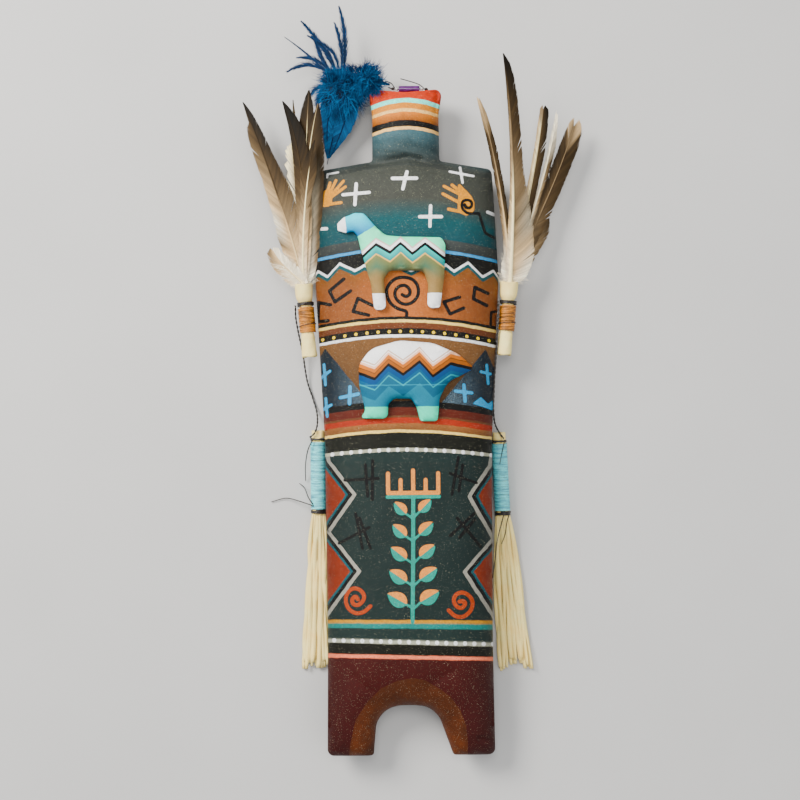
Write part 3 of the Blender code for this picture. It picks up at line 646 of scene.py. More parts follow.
def stuffed(outline, reach, solve_spacing, front_mesh, back_mesh, front, back):
    """Points and faces of a stuffed piece: front and back give z from flat points and push."""
    push = Puff(outline, reach, solve_spacing)
    sheets = []
    for (rings, spacing), shape, flip in ((front_mesh, front, False), (back_mesh, back, True)):
        flat, triangles = cloth_sheet(outline, rings, spacing)
        height, distance = push.at(flat)
        z = shape(flat, height, distance)
        triangles = triangles[:, ::-1] if flip else triangles
        sheets.append((np.column_stack([flat, z]), triangles))
    (top, top_faces), (under, under_faces) = sheets
    keys = {(round(x, 4), round(y, 4), round(z, 4)): i for i, (x, y, z) in enumerate(top)}
    points = list(top)
    index = np.zeros(len(under), dtype=int)
    for i, (x, y, z) in enumerate(under):
        match = keys.get((round(x, 4), round(y, 4), round(z, 4)))
        if match is None:
            match = len(points)
            points.append((x, y, z))
        index[i] = match
    return np.array(points), np.vstack([top_faces, index[under_faces]])


# Canvas body

def body_corners():
    """The canvas outline's corners, anticlockwise from the right sole."""
    wide = 80.0
    right = [
        (*SOLE, CORNER), (*SKIRT, wide), (*WAIST, wide), (*CHEST, wide), (*SHOULDER, CORNER),
        (*NECK, CORNER / 2), (*HEAD_SIDE, wide / 4), (*EAR, CORNER),
    ]
    left = [(-x, y, radius) for x, y, radius in reversed(right)]
    arch = [
        (-ARCH_LEFT, 0.0, CORNER / 2), (-ARCH_LEFT + 3.0, ARCH_TOP, 20.0),
        (ARCH_SHOULDER, ARCH_TOP, 18.0), (ARCH_RIGHT, 0.0, CORNER / 2),
    ]
    return right + [(0.0, HEAD_TOP, wide / 2)] + left + arch


# Folds in the front: the line of each, its height and its width
FOLDS = (
    (((-14.7, 412.6), (-3.7, 411.4), (8.9, 409.3), (21.5, 406.9), (30.0, 404.6), (42.0, 402.6)), 1.3, 2.1),
    (((-25.0, 404.0), (-16.0, 403.8), (-8.5, 405.4), (0.9, 407.2), (10.0, 406.2)), -2.1, 2.4),
    (((2.0, 415.0), (12.0, 412.6), (22.0, 410.6)), -1.0, 3.0),
    (((-22.0, 409.6), (-14.0, 409.2), (-4.0, 408.6)), 0.8, 1.5),
    (((8.0, 404.4), (18.0, 402.4), (30.0, 399.6)), -1.2, 1.9),
    (((-34.0, 400.6), (-22.0, 400.0), (-8.0, 401.4), (2.0, 402.6)), 0.9, 1.8),
    (((-21.0, 416.0), (-12.0, 417.4), (-2.0, 416.8)), -0.6, 2.4),
    (((47.0, 13.0), (53.0, 11.5), (57.5, 9.0)), -1.3, 2.0),
    (((10.0, 49.0), (19.0, 56.0), (27.0, 60.0)), -0.7, 3.4),
    (((-38.0, 57.0), (-33.0, 51.5), (-27.0, 48.0)), -0.6, 3.4),
    (((-57.0, 398.0), (-48.0, 394.0), (-38.0, 392.0)), -0.5, 3.0),
    (((58.0, 396.0), (50.0, 391.0), (42.0, 389.0)), -0.5, 3.0),
)


def body_front(flat, push, distance):
    near_neck = np.exp(-(((flat[:, 1] - NECK[1]) / NECK_CREASE_WIDTH) ** 2))
    z = SEAM + FRONT_PUFF * push * (1 - NECK_CREASE * near_neck)
    for line, height, width in FOLDS:
        away = outline_distance(flat, np.array(line), closed=False)
        z += height * np.exp(-((away / width) ** 2)) * np.minimum(1, distance / 3)
    edge = np.exp(-distance / 5.0) * (1 - np.exp(-distance / 0.7))
    z += 0.45 * edge * seam_wave(flat, 8.5)
    x, y = flat[:, 0], flat[:, 1]
    slow = np.sin(x * 0.11 + 0.7) * np.sin(y * 0.073) + 0.6 * np.sin(x * 0.19 - y * 0.13 + 2.0)
    return z + 0.28 * slow * np.minimum(1, distance / 12)


def body_back(flat, push, distance):
    edge = np.exp(-distance / 5.0) * (1 - np.exp(-distance / 0.7))
    z = SEAM - BACK_PUFF * push + 0.4 * edge * seam_wave(flat + 3.0, 9.0)
    return np.maximum(0.0, z)


# Depths of the rows of points beside the seam, and the spacing of the even grid inside them
BODY_FRONT_MESH = ((0.12, 0.45, 1.0, 1.8), 1.02)
BODY_BACK_MESH = ((0.12, 0.45, 1.0, 2.0), 2.3)
BODY_SOLVE_SPACING = 4.0
ANIMAL_FRONT_MESH = ((0.1, 0.35, 0.7), 0.6)
ANIMAL_BACK_MESH = ((0.1, 0.5), 1.5)
ANIMAL_SOLVE_SPACING = 2.2

body_outline = rounded_outline(body_corners(), 1.1)
body_points, body_faces = stuffed(
    body_outline, BODY_REACH, BODY_SOLVE_SPACING, BODY_FRONT_MESH, BODY_BACK_MESH,
    body_front, body_back,
)


def seen(points):
    """Where each point appears from the camera, on the level of the side seams."""
    share = (CAMERA_AT[2] - SEAM) / (CAMERA_AT[2] - points[:, 2])
    u = CAMERA_AT[0] + (points[:, 0] - CAMERA_AT[0]) * share
    v = CAMERA_AT[1] + (points[:, 1] - CAMERA_AT[1]) * share
    return np.column_stack([u, v])


# Painted designs on the body

# How far a level band bends down towards the sides, and how it slopes, by height
BAND_LEVELS = (0.0, 67.0, 78.0, 90.0, 150.0, 209.0, 222.0, 287.0, 300.0, 346.0, 398.0, 412.0, 456.0)
BAND_BEND = (0.0, 0.0, 0.0, 0.0, 0.0005, 0.00125, 0.0016, 0.0019, 0.0018, 0.0022, 0.003, 0.0092, 0.0092)
BAND_SLOPE = (0.03, 0.03, 0.036, 0.015, 0.01, 0.01, 0.018, 0.018, 0.018, 0.018, 0.01, 0.0, -0.01)

ZIGZAG = (
    (-66.0, 324.0), (-61.0, 331.8), (-54.4, 328.0), (-46.0, 337.0), (-35.6, 332.0), (-29.0, 335.6),
    (-18.0, 331.0), (-8.0, 337.5), (3.0, 331.5), (14.0, 337.5), (20.0, 332.0), (26.7, 335.5),
    (32.4, 330.9), (42.1, 337.0), (51.9, 327.0), (59.4, 331.1), (64.0, 324.0),
)
BLUE_PEAKS = (
    (-66.0, 263.0), (-56.5, 279.0), (-30.0, 246.0), (-27.0, 240.0), (22.0, 240.0), (28.0, 247.0),
    (53.5, 277.5), (62.0, 258.0),
)
PANEL_LEFT = (
    (-56.0, 207.5), (-54.9, 201.8), (-37.4, 178.8), (-55.5, 153.4), (-34.7, 126.3), (-58.5, 94.5),
)
PANEL_RIGHT = (
    (57.0, 206.0), (56.0, 198.0), (41.3, 176.9), (57.6, 147.7), (37.6, 125.2), (58.6, 92.0),
)

# Strokes of paint: half width and line
WHITE_STROKES = (
    (1.15, ((-9.3, 395.2), (7.3, 395.2))), (1.15, ((0.7, 399.6), (-0.7, 394.1), (-2.2, 388.0))),
    (1.05, ((-43.4, 384.3), (-25.2, 385.8))), (1.15, ((-34.1, 391.7), (-35.2, 377.5))),
    (1.15, ((9.1, 368.8), (24.1, 368.7))), (1.1, ((16.7, 376.2), (16.1, 362.1))),
    (0.75, ((30.0, 399.5), (46.4, 396.2))), (0.85, ((37.1, 402.2), (38.8, 391.8))),
    (0.6, ((-53.7, 398.5), (-46.3, 399.7))), (0.7, ((-53.7, 398.5), (-54.0, 396.2))),
    (1.1, ((-58.2, 361.0), (-54.7, 361.2))), (1.1, ((55.7, 371.5), (60.4, 369.5))),
)
GOLD_STROKES = (
    (0.95, ((-52.8, 384.6), (-47.9, 394.2))), (0.95, ((-51.8, 383.6), (-42.8, 393.7))),
    (0.95, ((-51.4, 382.6), (-41.5, 389.8))), (1.0, ((-54.3, 377.7), (-44.5, 379.0))),
    (0.95, ((-54.4, 384.6), (-52.0, 392.6))),
    (1.0, ((26.0, 389.5), (38.4, 383.0))), (1.05, ((31.5, 390.3), (40.3, 383.5))),
    (1.1, ((36.6, 389.7), (42.5, 383.0))), (1.05, ((25.2, 384.3), (37.5, 377.6))),
    (1.1, ((29.0, 373.8), (37.6, 371.9))),
)
GOLD_SHAPES = (
    ((-56.8, 387.0), (-53.5, 388.2), (-50.3, 385.9), (-50.8, 380.0), (-53.0, 376.4), (-57.0, 376.0)),
    ((37.0, 389.6), (41.4, 386.4), (44.8, 382.4), (46.7, 378.2), (46.6, 373.0), (44.4, 370.2),
     (41.0, 369.2), (36.6, 371.0), (35.2, 374.0), (35.4, 380.0)),
)
BLACK_STROKES = (
    (1.0, ((40.2, 376.8), (41.2, 374.8), (43.2, 374.4), (44.9, 376.0), (44.6, 378.7), (42.0, 379.9),
           (39.1, 379.2), (38.1, 376.4), (38.8, 373.7), (40.8, 371.7), (43.1, 370.7), (47.1, 370.6),
           (49.8, 370.4), (51.0, 366.9), (52.9, 360.6), (54.4, 357.0), (60.5, 353.6))),
    (1.2, ((-43.2, 326.6), (-53.2, 318.4), (-49.5, 310.9), (-38.7, 318.3))),
    (1.2, ((-23.8, 308.2), (-33.7, 313.3), (-37.1, 304.2), (-26.4, 301.6))),
    (1.2, ((-52.5, 308.9), (-60.7, 310.6), (-61.3, 297.3), (-54.2, 298.1))),
    (1.2, ((36.0, 313.4), (25.2, 310.2), (29.3, 301.9), (38.8, 305.9))),
    (1.2, ((55.5, 315.7), (46.5, 320.0), (45.5, 312.1), (54.6, 307.4))),
    (0.9, ((60.6, 303.2), (57.5, 302.8), (57.0, 292.9), (60.1, 292.4))),
    (1.2, ((-3.4, 315.5), (-0.9, 314.2), (1.6, 315.4), (2.0, 318.3), (-0.4, 321.3), (-3.8, 321.7),
            (-7.1, 319.7), (-8.4, 315.9), (-6.8, 311.8), (-3.1, 309.2), (1.5, 309.2), (5.7, 312.1),
            (7.8, 316.6), (7.0, 322.0), (3.7, 325.8), (-1.6, 327.3), (-7.0, 326.7), (-11.2, 323.8),
            (-13.8, 319.3), (-13.4, 313.9), (-10.9, 309.3), (-6.4, 305.9), (-0.6, 303.8), (-0.7, 299.7))),
)
SKY_STROKES = (
    (0.95, ((-57.4, 268.2), (-56.5, 254.1))), (0.95, ((-59.6, 258.7), (-53.3, 263.6))),
    (0.95, ((-56.4, 245.0), (-55.5, 232.5))), (0.95, ((-58.5, 237.1), (-52.7, 240.4))),
    (1.2, ((-39.7, 252.7), (-40.2, 241.1))), (1.15, ((-46.4, 245.3), (-34.0, 247.7))),
    (0.95, ((54.1, 266.7), (55.0, 253.9))), (0.9, ((50.0, 262.2), (56.7, 260.5))),
    (1.15, ((38.3, 253.2), (39.1, 242.0))), (1.1, ((32.5, 249.1), (43.7, 247.7))),
)
SKY_SHAPES = (
    ((44.0, 240.4), (49.9, 244.8), (54.8, 240.0), (58.6, 243.0), (59.0, 235.0), (53.0, 237.4)),
)
HASH_STROKES = (
    (1.1, ((-29.7, 199.2), (-28.3, 177.6))), (1.1, ((-24.6, 201.9), (-25.2, 175.2))),
    (1.05, ((-44.0, 188.7), (-20.8, 189.7))), (1.0, ((34.1, 203.7), (29.5, 178.2))),
    (1.0, ((37.1, 198.6), (34.2, 180.5))), (0.95, ((28.0, 192.8), (46.5, 185.9))),
    (1.0, ((-36.7, 165.9), (-32.2, 141.8))), (1.0, ((-34.0, 162.7), (-26.7, 141.8))),
    (1.0, ((-48.3, 145.5), (-27.4, 156.3))), (1.1, ((28.0, 149.9), (44.7, 165.1))),
    (1.1, ((34.3, 148.7), (45.0, 161.1))), (1.1, ((32.9, 162.0), (48.8, 142.2))),
)
ORANGE_STROKES = (
    (1.3, ((-35.7, 107.0), (-37.3, 109.0), (-39.6, 107.0), (-38.9, 103.9), (-35.7, 103.1),
           (-32.6, 105.4), (-31.4, 109.3), (-34.1, 113.3), (-38.8, 114.5), (-42.7, 111.4),
           (-44.0, 106.3), (-42.1, 100.8), (-37.4, 97.6), (-31.9, 98.3), (-27.1, 102.2))),
    (1.35, ((33.9, 104.8), (36.6, 105.1), (37.8, 103.1), (35.4, 100.4), (31.9, 101.6),
            (30.0, 105.6), (31.6, 109.5), (35.9, 111.0), (40.6, 108.6), (42.9, 103.9),
            (41.3, 98.4), (36.5, 94.5), (31.0, 94.9), (26.4, 98.9))),
)
ARCH_BAND = (
    (-42.7, -6.0), (-42.7, 1.6), (-41.8, 8.1), (-38.0, 24.2), (-30.2, 36.2), (-20.4, 45.9),
    (-9.0, 51.0), (1.5, 52.8), (9.6, 51.2), (19.2, 45.5), (27.2, 39.7), (34.0, 30.0),
    (37.6, 20.2), (38.7, 9.7), (38.6, 1.6), (38.6, -6.0),
)[::-1]
DOT_PITCH = 7.6
BEAD_PITCH = 6.4


def stroke_field(spots, strokes, shapes=()):
    """Distance outside the nearest stroke or shape, below zero inside, kept within 3 mm."""
    field = np.full(len(spots), 3.0)
    for half, line in strokes:
        line = np.array(line)
        if len(line) > 4 and np.abs(line[0] - line[-1]).sum() < 60:
            line = smooth_line(line, len(line) * 4)
        low, high = line.min(0) - 6, line.max(0) + 6
        near = ((spots > low) & (spots < high)).all(1)
        field[near] = np.minimum(
            field[near], outline_distance(spots[near], line, closed=False) - half
        )
    for shape in shapes:
        shape = np.array(shape)
        low, high = shape.min(0) - 6, shape.max(0) + 6
        near = ((spots > low) & (spots < high)).all(1)
        away = outline_distance(spots[near], shape)
        field[near] = np.minimum(field[near], -away)
    return np.clip(field, -3, 3)


def plant_marks():
    """A generic leafy stalk: strokes and leaf shapes in two colours, from a short loop."""
    stem_x, foot, head = 2.4, 91.0, 176.0
    teal = [(1.35, ((stem_x - 0.8, foot), (stem_x, (foot + head) / 2), (stem_x + 0.5, head)))]
    pale = []
    teal_shapes, pale_shapes = [], []
    for k in range(5):
        level = foot + 9.0 + k * 15.5
        for side in (-1, 1):
            size = 15.5 - 0.9 * k
            base = np.array((stem_x + side * 4.5, level + 3.0 + 1.5 * (side > 0)))
            lean = math.radians(30 + 4 * k)
            along = np.array((side * math.cos(lean), math.sin(lean)))
            out = np.array((-along[1], along[0])) * side
            t = np.linspace(0, 1, 12)
            wide = 0.34 * size * np.sin(np.pi * t**0.8) ** 0.8
            spine = base + np.outer(t * size, along)
            upper = np.vstack([spine, (spine + wide[:, None] * out)[::-1][1:-1]])
            lower = np.vstack([spine, (spine - wide[:, None] * out)[::-1][1:-1]])
            pale_shapes.append(upper[::-side])
            teal_shapes.append(lower[::side])
            stalk = np.array((stem_x, level))
            teal.append((0.75, (tuple(stalk), tuple(base + along))))
    for k in range(5):
        x = stem_x + 0.5 + (k - 2) * 8.6
        tall = (17.0, 12.5, 19.0, 12.5, 17.0)[k]
        pale.append((1.35, ((x, head + 3.4), (x, head + tall))))
    ends = (stem_x + 0.5 - 17.2, stem_x + 0.5 + 17.2)
    pale.append((1.4, ((ends[0], head + 3.6), (ends[1], head + 3.6))))
    teal.append((1.2, ((ends[0] - 0.6, head + 0.9), (ends[1] + 0.6, head + 0.9))))
    return teal, teal_shapes, pale, pale_shapes


def dot_field(u, w, level, pitch, shift, radius):
    """Distance outside the nearest of a row of dots on a level band."""
    across = (u - shift + pitch / 2) % pitch - pitch / 2
    return np.clip(np.hypot(across, w - level) - radius, -3, 3)


spots = seen(body_points)
u, v = spots[:, 0], spots[:, 1]
band = v + np.interp(v, BAND_LEVELS, BAND_BEND) * u * u + np.interp(v, BAND_LEVELS, BAND_SLOPE) * u
zigzag = v - np.interp(u, *np.array(ZIGZAG).T)
peaks = (v - np.interp(u, *np.array(BLUE_PEAKS).T)) * 0.62
left_u = np.interp(v, *np.array(PANEL_LEFT)[::-1, ::-1].T)
right_u = np.interp(v, *np.array(PANEL_RIGHT)[::-1, ::-1].T)
panel = np.maximum(left_u - u, u - right_u) * 0.79
plant_teal, plant_teal_shapes, plant_pale, plant_pale_shapes = plant_marks()
body_fields = {
    "band": band,
    "zigzag": zigzag,
    "peaks": np.clip(peaks, -40, 40),
    "panel": np.clip(panel, -10, 20),
    "white_marks": stroke_field(spots, WHITE_STROKES),
    "gold_marks": stroke_field(spots, GOLD_STROKES, GOLD_SHAPES),
    "black_marks": stroke_field(spots, BLACK_STROKES),
    "sky_marks": stroke_field(spots, SKY_STROKES, SKY_SHAPES),
    "hash_marks": stroke_field(spots, HASH_STROKES),
    "orange_marks": stroke_field(spots, ORANGE_STROKES),
    "teal_marks": stroke_field(spots, plant_teal, plant_teal_shapes),
    "pale_marks": stroke_field(spots, plant_pale, plant_pale_shapes),
    "arch_marks": stroke_field(spots, (), (ARCH_BAND,)),
    "gold_dots": dot_field(u, band, 290.3, DOT_PITCH, -4.9, 1.15),
    "white_dots": np.minimum(
        dot_field(u, band, 209.2, BEAD_PITCH, -1.0, 1.45),
        dot_field(u, band, 77.3, BEAD_PITCH, -1.0, 1.5),
    ),
    "across": u,
    "height": body_points[:, 2],
}


def painted_canvas():
    kit = Finish("painted_canvas")
    slow = kit.noise(160.0, 2.0)
    fine = kit.noise(1500.0, 3.0, 0.6)
    grain = kit.noise(4200.0, 2.0, 0.6)
    blotch = kit.noise(55.0, 3.0, 0.6)
    mottle = kit.noise(520.0, 4.0, 0.7)
    wobble = kit.rescale(slow, 0.0, 1.0, -0.5, 0.5)
    rough_edge = kit.rescale(fine, 0.0, 1.0, -0.22, 0.22)
    shake = kit.plus(wobble, rough_edge)
    level = kit.plus(kit.field("band"), shake)

    def marks(name):
        return kit.inside(kit.plus(kit.field(name), rough_edge))

    ochre, peach = srgb(206, 124, 20), srgb(241, 190, 110)
    black, cream = srgb(5, 5, 4), srgb(241, 204, 108)
    head = kit.ramp(level, [
        (400.0, 407.0, srgb(51, 54, 50), srgb(52, 57, 53)),
        (407.0, 418.0, srgb(54, 58, 54), srgb(47, 67, 70)),
        (418.0, 428.9, srgb(47, 67, 70), srgb(56, 91, 99)), (428.9, 431.1, peach),
        (431.1, 435.1, black), (435.1, 441.0, srgb(136, 72, 8), srgb(212, 118, 22)),
        (441.0, 443.2, peach), (443.2, 447.1, ochre), (447.1, 450.1, srgb(97, 241, 220)),
        (450.1, 470.0, srgb(190, 46, 4)),
    ])
    grey = srgb(57, 59, 52)
    upper = kit.ramp(level, [
        (295.0, 300.6, black), (300.6, 345.5, black), (345.5, 347.7, srgb(47, 143, 201)),
        (347.7, 354.8, srgb(42, 47, 47), srgb(51, 56, 54)),
        (354.8, 368.0, srgb(4, 61, 69), srgb(4, 69, 74)),
        (368.0, 382.0, srgb(4, 69, 74), grey), (382.0, 405.0, grey, srgb(54, 57, 51)),
    ])
    middle = kit.ramp(level, [
        (200.0, 207.9, srgb(19, 36, 34)), (207.9, 210.5, srgb(160, 160, 137)),
        (210.5, 221.2, srgb(12, 14, 5)),
        (221.2, 222.9, cream), (222.9, 227.2, srgb(110, 66, 26), srgb(138, 86, 40)),
        (227.2, 231.1, srgb(152, 36, 4)), (231.1, 232.7, srgb(93, 52, 24)),
        (232.7, 238.5, srgb(78, 19, 4), srgb(84, 26, 9)), (238.5, 242.6, srgb(5, 5, 4)),
        (242.6, 286.1, srgb(74, 49, 22), srgb(108, 72, 36)), (286.1, 288.1, srgb(241, 241, 240)),
        (288.1, 292.5, srgb(8, 8, 4)), (292.5, 296.6, srgb(96, 49, 21)),
        (296.6, 298.4, cream), (298.4, 300.6, srgb(9, 10, 4)),
    ])
    lower = kit.ramp(level, [
        (-10.0, 65.6, srgb(52, 6, 4), srgb(58, 9, 4)), (65.6, 68.4, srgb(241, 119, 82)),
        (68.4, 76.0, srgb(14, 14, 5)), (76.0, 78.6, srgb(164, 164, 143)), (78.6, 86.4, srgb(23, 39, 36)),
        (86.4, 90.3, srgb(8, 116, 108)), (90.3, 92.2, srgb(186, 128, 4)), (92.2, 204.0, srgb(19, 34, 32)),
    ])
    # Painted highlight: the orange field below the zigzag is mixed at half strength with a lighter orange
    # down the middle, where the stuffed front faces the light overhead.
    centre = kit.rescale(kit.maths("ABSOLUTE", kit.field("across")), 4.0, 38.0, 1.0, 0.0)
    fall = kit.plus(kit.field("zigzag"), shake)
    field = kit.ramp(fall, [
        (-40.0, -14.0, srgb(130, 70, 24)), (-14.0, -3.4, srgb(130, 70, 24), srgb(118, 68, 14)),
        (-3.4, -0.9, srgb(4, 69, 73)), (-0.9, 0.95, srgb(241, 241, 240)), (0.95, 14.0, srgb(5, 5, 4)),
    ])
    painted_centre_highlight = kit.mix(kit.times(centre, kit.below(fall, -3.4)), field, srgb(206, 112, 42))
    field = kit.mix(0.5, field, painted_centre_highlight)
    colour = kit.mix(kit.above(level, 404.0), upper, head)
    in_field = kit.between(level, 300.6, 345.5)
    colour = kit.mix(in_field, colour, field)
    colour = kit.mix(kit.above(level, 300.5), middle, colour)
    colour = kit.mix(kit.above(level, 201.0), lower, colour)
    in_peaks = kit.between(level, 242.6, 286.1)
    in_peaks = kit.times(in_peaks, kit.inside(kit.plus(kit.field("peaks"), shake)))
    middle_share = kit.rescale(kit.maths("ABSOLUTE", kit.field("across")), 28.0, 52.0, 1.0, 0.0)
    haze = kit.times(middle_share, kit.rescale(fine, 0.35, 0.65))
    blue = kit.mix(haze, srgb(15, 28, 39), srgb(88, 110, 123))
    colour = kit.mix(in_peaks, colour, blue)
    side = kit.plus(kit.field("panel"), shake)
    sides = kit.ramp(side, [
        (-4.0, -1.25, srgb(19, 34, 32)), (-1.25, 1.15, srgb(143, 140, 128)), (1.15, 3.4, srgb(4, 4, 4)),
        (3.4, 4.9, srgb(4, 73, 81)), (4.9, 20.0, srgb(122, 37, 4), srgb(98, 29, 4)),
    ])
    in_panel = kit.between(level, 92.4, 207.9)
    in_panel = kit.times(in_panel, kit.above(side, -1.25))
    colour = kit.mix(in_panel, colour, sides)
    paints = (
        ("hash_marks", srgb(4, 4, 4)), ("teal_marks", srgb(8, 140, 122)),
        ("pale_marks", srgb(222, 136, 50)), ("orange_marks", srgb(158, 54, 4)),
        ("white_marks", srgb(241, 241, 240)), ("gold_marks", srgb(216, 140, 4)),
        ("black_marks", srgb(5, 4, 4)), ("sky_marks", srgb(20, 152, 206)),
    )
    for name, paint in paints:
        colour = kit.mix(marks(name), colour, paint)
    dark_band = kit.between(level, 288.1, 292.6)
    dots = kit.times(marks("gold_dots"), dark_band)
    heart = kit.below(kit.field("gold_dots"), -0.6)
    colour = kit.mix(dots, colour, kit.mix(heart, srgb(243, 205, 5), srgb(220, 112, 4)))
    colour = kit.mix(marks("white_dots"), colour, srgb(241, 241, 240))
    low = kit.below(level, 65.6)
    arch_top = kit.rescale(level, 24.0, 50.0)
    arch_paint = kit.mix(kit.rescale(blotch, 0.35, 0.7), srgb(60, 25, 4), srgb(86, 38, 4))
    arch_paint = kit.mix(arch_top, arch_paint, srgb(66, 28, 4))
    colour = kit.mix(kit.times(marks("arch_marks"), low), colour, arch_paint)
    back_low = kit.mix(kit.above(kit.field("band"), 65.6), srgb(50, 7, 4), srgb(31, 34, 32))
    front_side = kit.above(kit.plus(kit.field("height"), kit.times(wobble, 2.0)), 10.0, 0.4)
    colour = kit.mix(front_side, back_low, colour)

    tone = kit.rescale(fine, 0.25, 0.75, 0.62, 1.30)
    tone = kit.times(tone, kit.rescale(grain, 0.2, 0.8, 0.80, 1.18))
    tone = kit.times(tone, kit.rescale(blotch, 0.2, 0.8, 0.9, 1.08))
    tone = kit.times(tone, kit.rescale(mottle, 0.25, 0.75, 0.80, 1.20))
    # Painted shade: the colour darkens towards the sides of the body and of the head, where the stuffed
    # surface turns away from the light.
    away = kit.maths("ABSOLUTE", kit.plus(kit.field("across"), 3.0))
    painted_head_side_shade = kit.times(kit.above(level, 404.0), kit.rescale(away, 10.0, 26.0, 0.0, 0.30))
    painted_body_side_shade = kit.rescale(away, 34.0, 64.0, 0.0, 0.36)
    tone = kit.times(tone, kit.maths("SUBTRACT", 1.0, kit.maths("MAXIMUM", painted_head_side_shade, painted_body_side_shade)))
    colour = kit.shaded(colour, tone)
    # Painted glints: sparse pale cream specks stand for light glinting off the satin paint.
    painted_glint_specks = kit.above(kit.noise(2300.0, 1.0), 0.735, 0.02)
    colour = kit.mix(kit.times(painted_glint_specks, 0.55), colour, srgb(227, 221, 183))
    threads = kit.weave(0.00062)
    normal = kit.bump(threads, 0.42, 0.00026)
    normal = kit.bump(fine, 0.35, 0.0003, normal)
    return kit.finish(colour, kit.rescale(fine, 0.3, 0.8, 0.46, 0.68), normal, Specular_IOR_Level=0.16)


body = add_mesh("canvas_body", body_points, body_faces, painted_canvas(), body_fields)
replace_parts(body, "body")


# Stuffed animals on the front

body_lookup = BVHTree.FromPolygons(body_points.tolist(), body_faces.tolist())


def ground(flat):
    """Height of the body's front under flat points."""
    down = Vector((0, 0, -1))
    found = np.zeros(len(flat))
    for k, (x, y) in enumerate(flat):
        hit = body_lookup.ray_cast(Vector((x, y, 100.0)), down)[0]
        found[k] = hit.z if hit else SEAM
    return found


def animal_points(shape, length, place):
    corners = [(place[0] + x * length, place[1] + y * length, r * length) for x, y, r in shape]
    outline = rounded_outline(corners, 0.7)

    def front(flat, push, distance):
        edge = np.exp(-distance / 2.6) * (1 - np.exp(-distance / 0.5))
        z = ground(flat) + ANIMAL_SEAM + ANIMAL_PUFF * push
        return z + 0.28 * edge * seam_wave(flat, 4.6)

    def back(flat, push, distance):
        return ground(flat) + 0.3 + (ANIMAL_SEAM - 0.3) * (1 - push) ** 3

    return stuffed(
        outline, ANIMAL_REACH, ANIMAL_SOLVE_SPACING, ANIMAL_FRONT_MESH, ANIMAL_BACK_MESH,
        front, back,
    )


def animal_finish(name, layers):
    """Smooth painted cotton: colour comes from layers(kit, shake)."""
    kit = Finish(name)
    slow = kit.noise(210.0, 2.0)
    fine = kit.noise(1500.0, 3.0, 0.6)
    blotch = kit.noise(120.0, 3.0, 0.6)
    shake = kit.plus(kit.rescale(slow, 0.0, 1.0, -0.4, 0.4), kit.rescale(fine, 0.0, 1.0, -0.12, 0.12))
    colour = layers(kit, shake)
    tone = kit.times(kit.rescale(fine, 0.25, 0.75, 0.88, 1.08), kit.rescale(blotch, 0.2, 0.8, 0.88, 1.1))
    colour = kit.shaded(colour, tone)
    normal = kit.bump(kit.weave(0.00045), 0.16, 0.00015)
    normal = kit.bump(fine, 0.2, 0.0002, normal)
    return kit.finish(colour, kit.rescale(fine, 0.3, 0.8, 0.5, 0.66), normal, Specular_IOR_Level=0.16)


HORSE_ZIGZAG = (
    (-40.0, 333.5), (-29.7, 342.3), (-20.95, 350.1), (-11.4, 344.6), (-4.1, 350.8), (3.9, 343.6),
    (12.7, 350.2), (26.0, 340.1), (34.0, 334.0),
)
BEAR_ZIGZAG = (
    (-36.0, 262.6), (-33.0, 261.8), (-22.7, 257.9), (-13.2, 267.8), (-3.2, 261.0), (8.2, 269.6),
    (17.2, 259.5), (29.4, 268.0), (45.9, 263.9), (50.0, 262.6),
)


def horse_layers(kit, shake):
    fall = kit.plus(kit.field("zigzag"), shake)
    colour = kit.ramp(fall, [
        (-60.0, -25.0, srgb(150, 118, 62)), (-25.0, -15.0, srgb(150, 118, 62), srgb(69, 108, 81)),
        (-15.0, -7.0, srgb(69, 108, 81), srgb(116, 118, 66)), (-7.0, -6.0, srgb(221, 175, 85)),
        (-6.0, -1.1, srgb(4, 135, 133), srgb(4, 188, 177)), (-1.1, 1.1, srgb(4, 4, 4)),
        (1.1, 3.6, srgb(241, 241, 241)), (3.6, 4.6, srgb(203, 180, 168)), (4.6, 40.0, srgb(92, 241, 183)),
    ])
    leg = kit.plus(kit.field("seen_v"), shake)
    colour = kit.mix(kit.below(leg, 330.0, 5.0), colour, srgb(140, 112, 62))
    head_paint = kit.mix(kit.rescale(leg, 358.0, 369.0), srgb(4, 116, 172), srgb(17, 206, 226))
    colour = kit.mix(kit.inside(kit.plus(kit.field("neck"), shake)), colour, head_paint)
    colour = kit.mix(kit.inside(kit.plus(kit.field("muzzle"), shake)), colour, srgb(243, 243, 243))
    return kit.mix(kit.below(leg, 316.5), colour, srgb(241, 241, 240))


def bear_layers(kit, shake):
    fall = kit.plus(kit.field("zigzag"), shake)
    colour = kit.ramp(fall, [
        (-40.0, -15.0, srgb(4, 108, 137), srgb(4, 114, 138)), (-15.0, -8.2, srgb(4, 87, 115)),
        (-8.2, -7.3, srgb(4, 150, 160)), (-7.3, -4.6, srgb(4, 78, 117)), (-4.6, -1.0, srgb(4, 61, 112)),
        (-1.0, 1.0, srgb(5, 5, 4)), (1.0, 3.4, srgb(146, 76, 6)), (3.4, 4.2, srgb(110, 58, 4)),
        (4.2, 6.6, srgb(187, 98, 8)), (6.6, 8.2, srgb(241, 183, 148)), (8.2, 9.2, srgb(241, 241, 240)),
        (9.2, 10.0, srgb(202, 167, 142)), (10.0, 50.0, srgb(241, 241, 240)),
    ])
    level = kit.plus(kit.field("seen_v"), shake)
    line = kit.maths("ABSOLUTE", kit.maths("SUBTRACT", level, 253.6))
    line = kit.times(0.4, kit.below(line, 0.35))
    colour = kit.mix(line, colour, srgb(4, 169, 191))
    return kit.mix(kit.below(level, 238.8), colour, srgb(8, 228, 180))


def line_side(spots, first, second):
    """Distance from the line through two points, below zero on its left."""
    first, second = np.array(first), np.array(second)
    along = (second - first) / np.linalg.norm(second - first)
    offset = spots - first
    return -(along[0] * offset[:, 1] - along[1] * offset[:, 0])


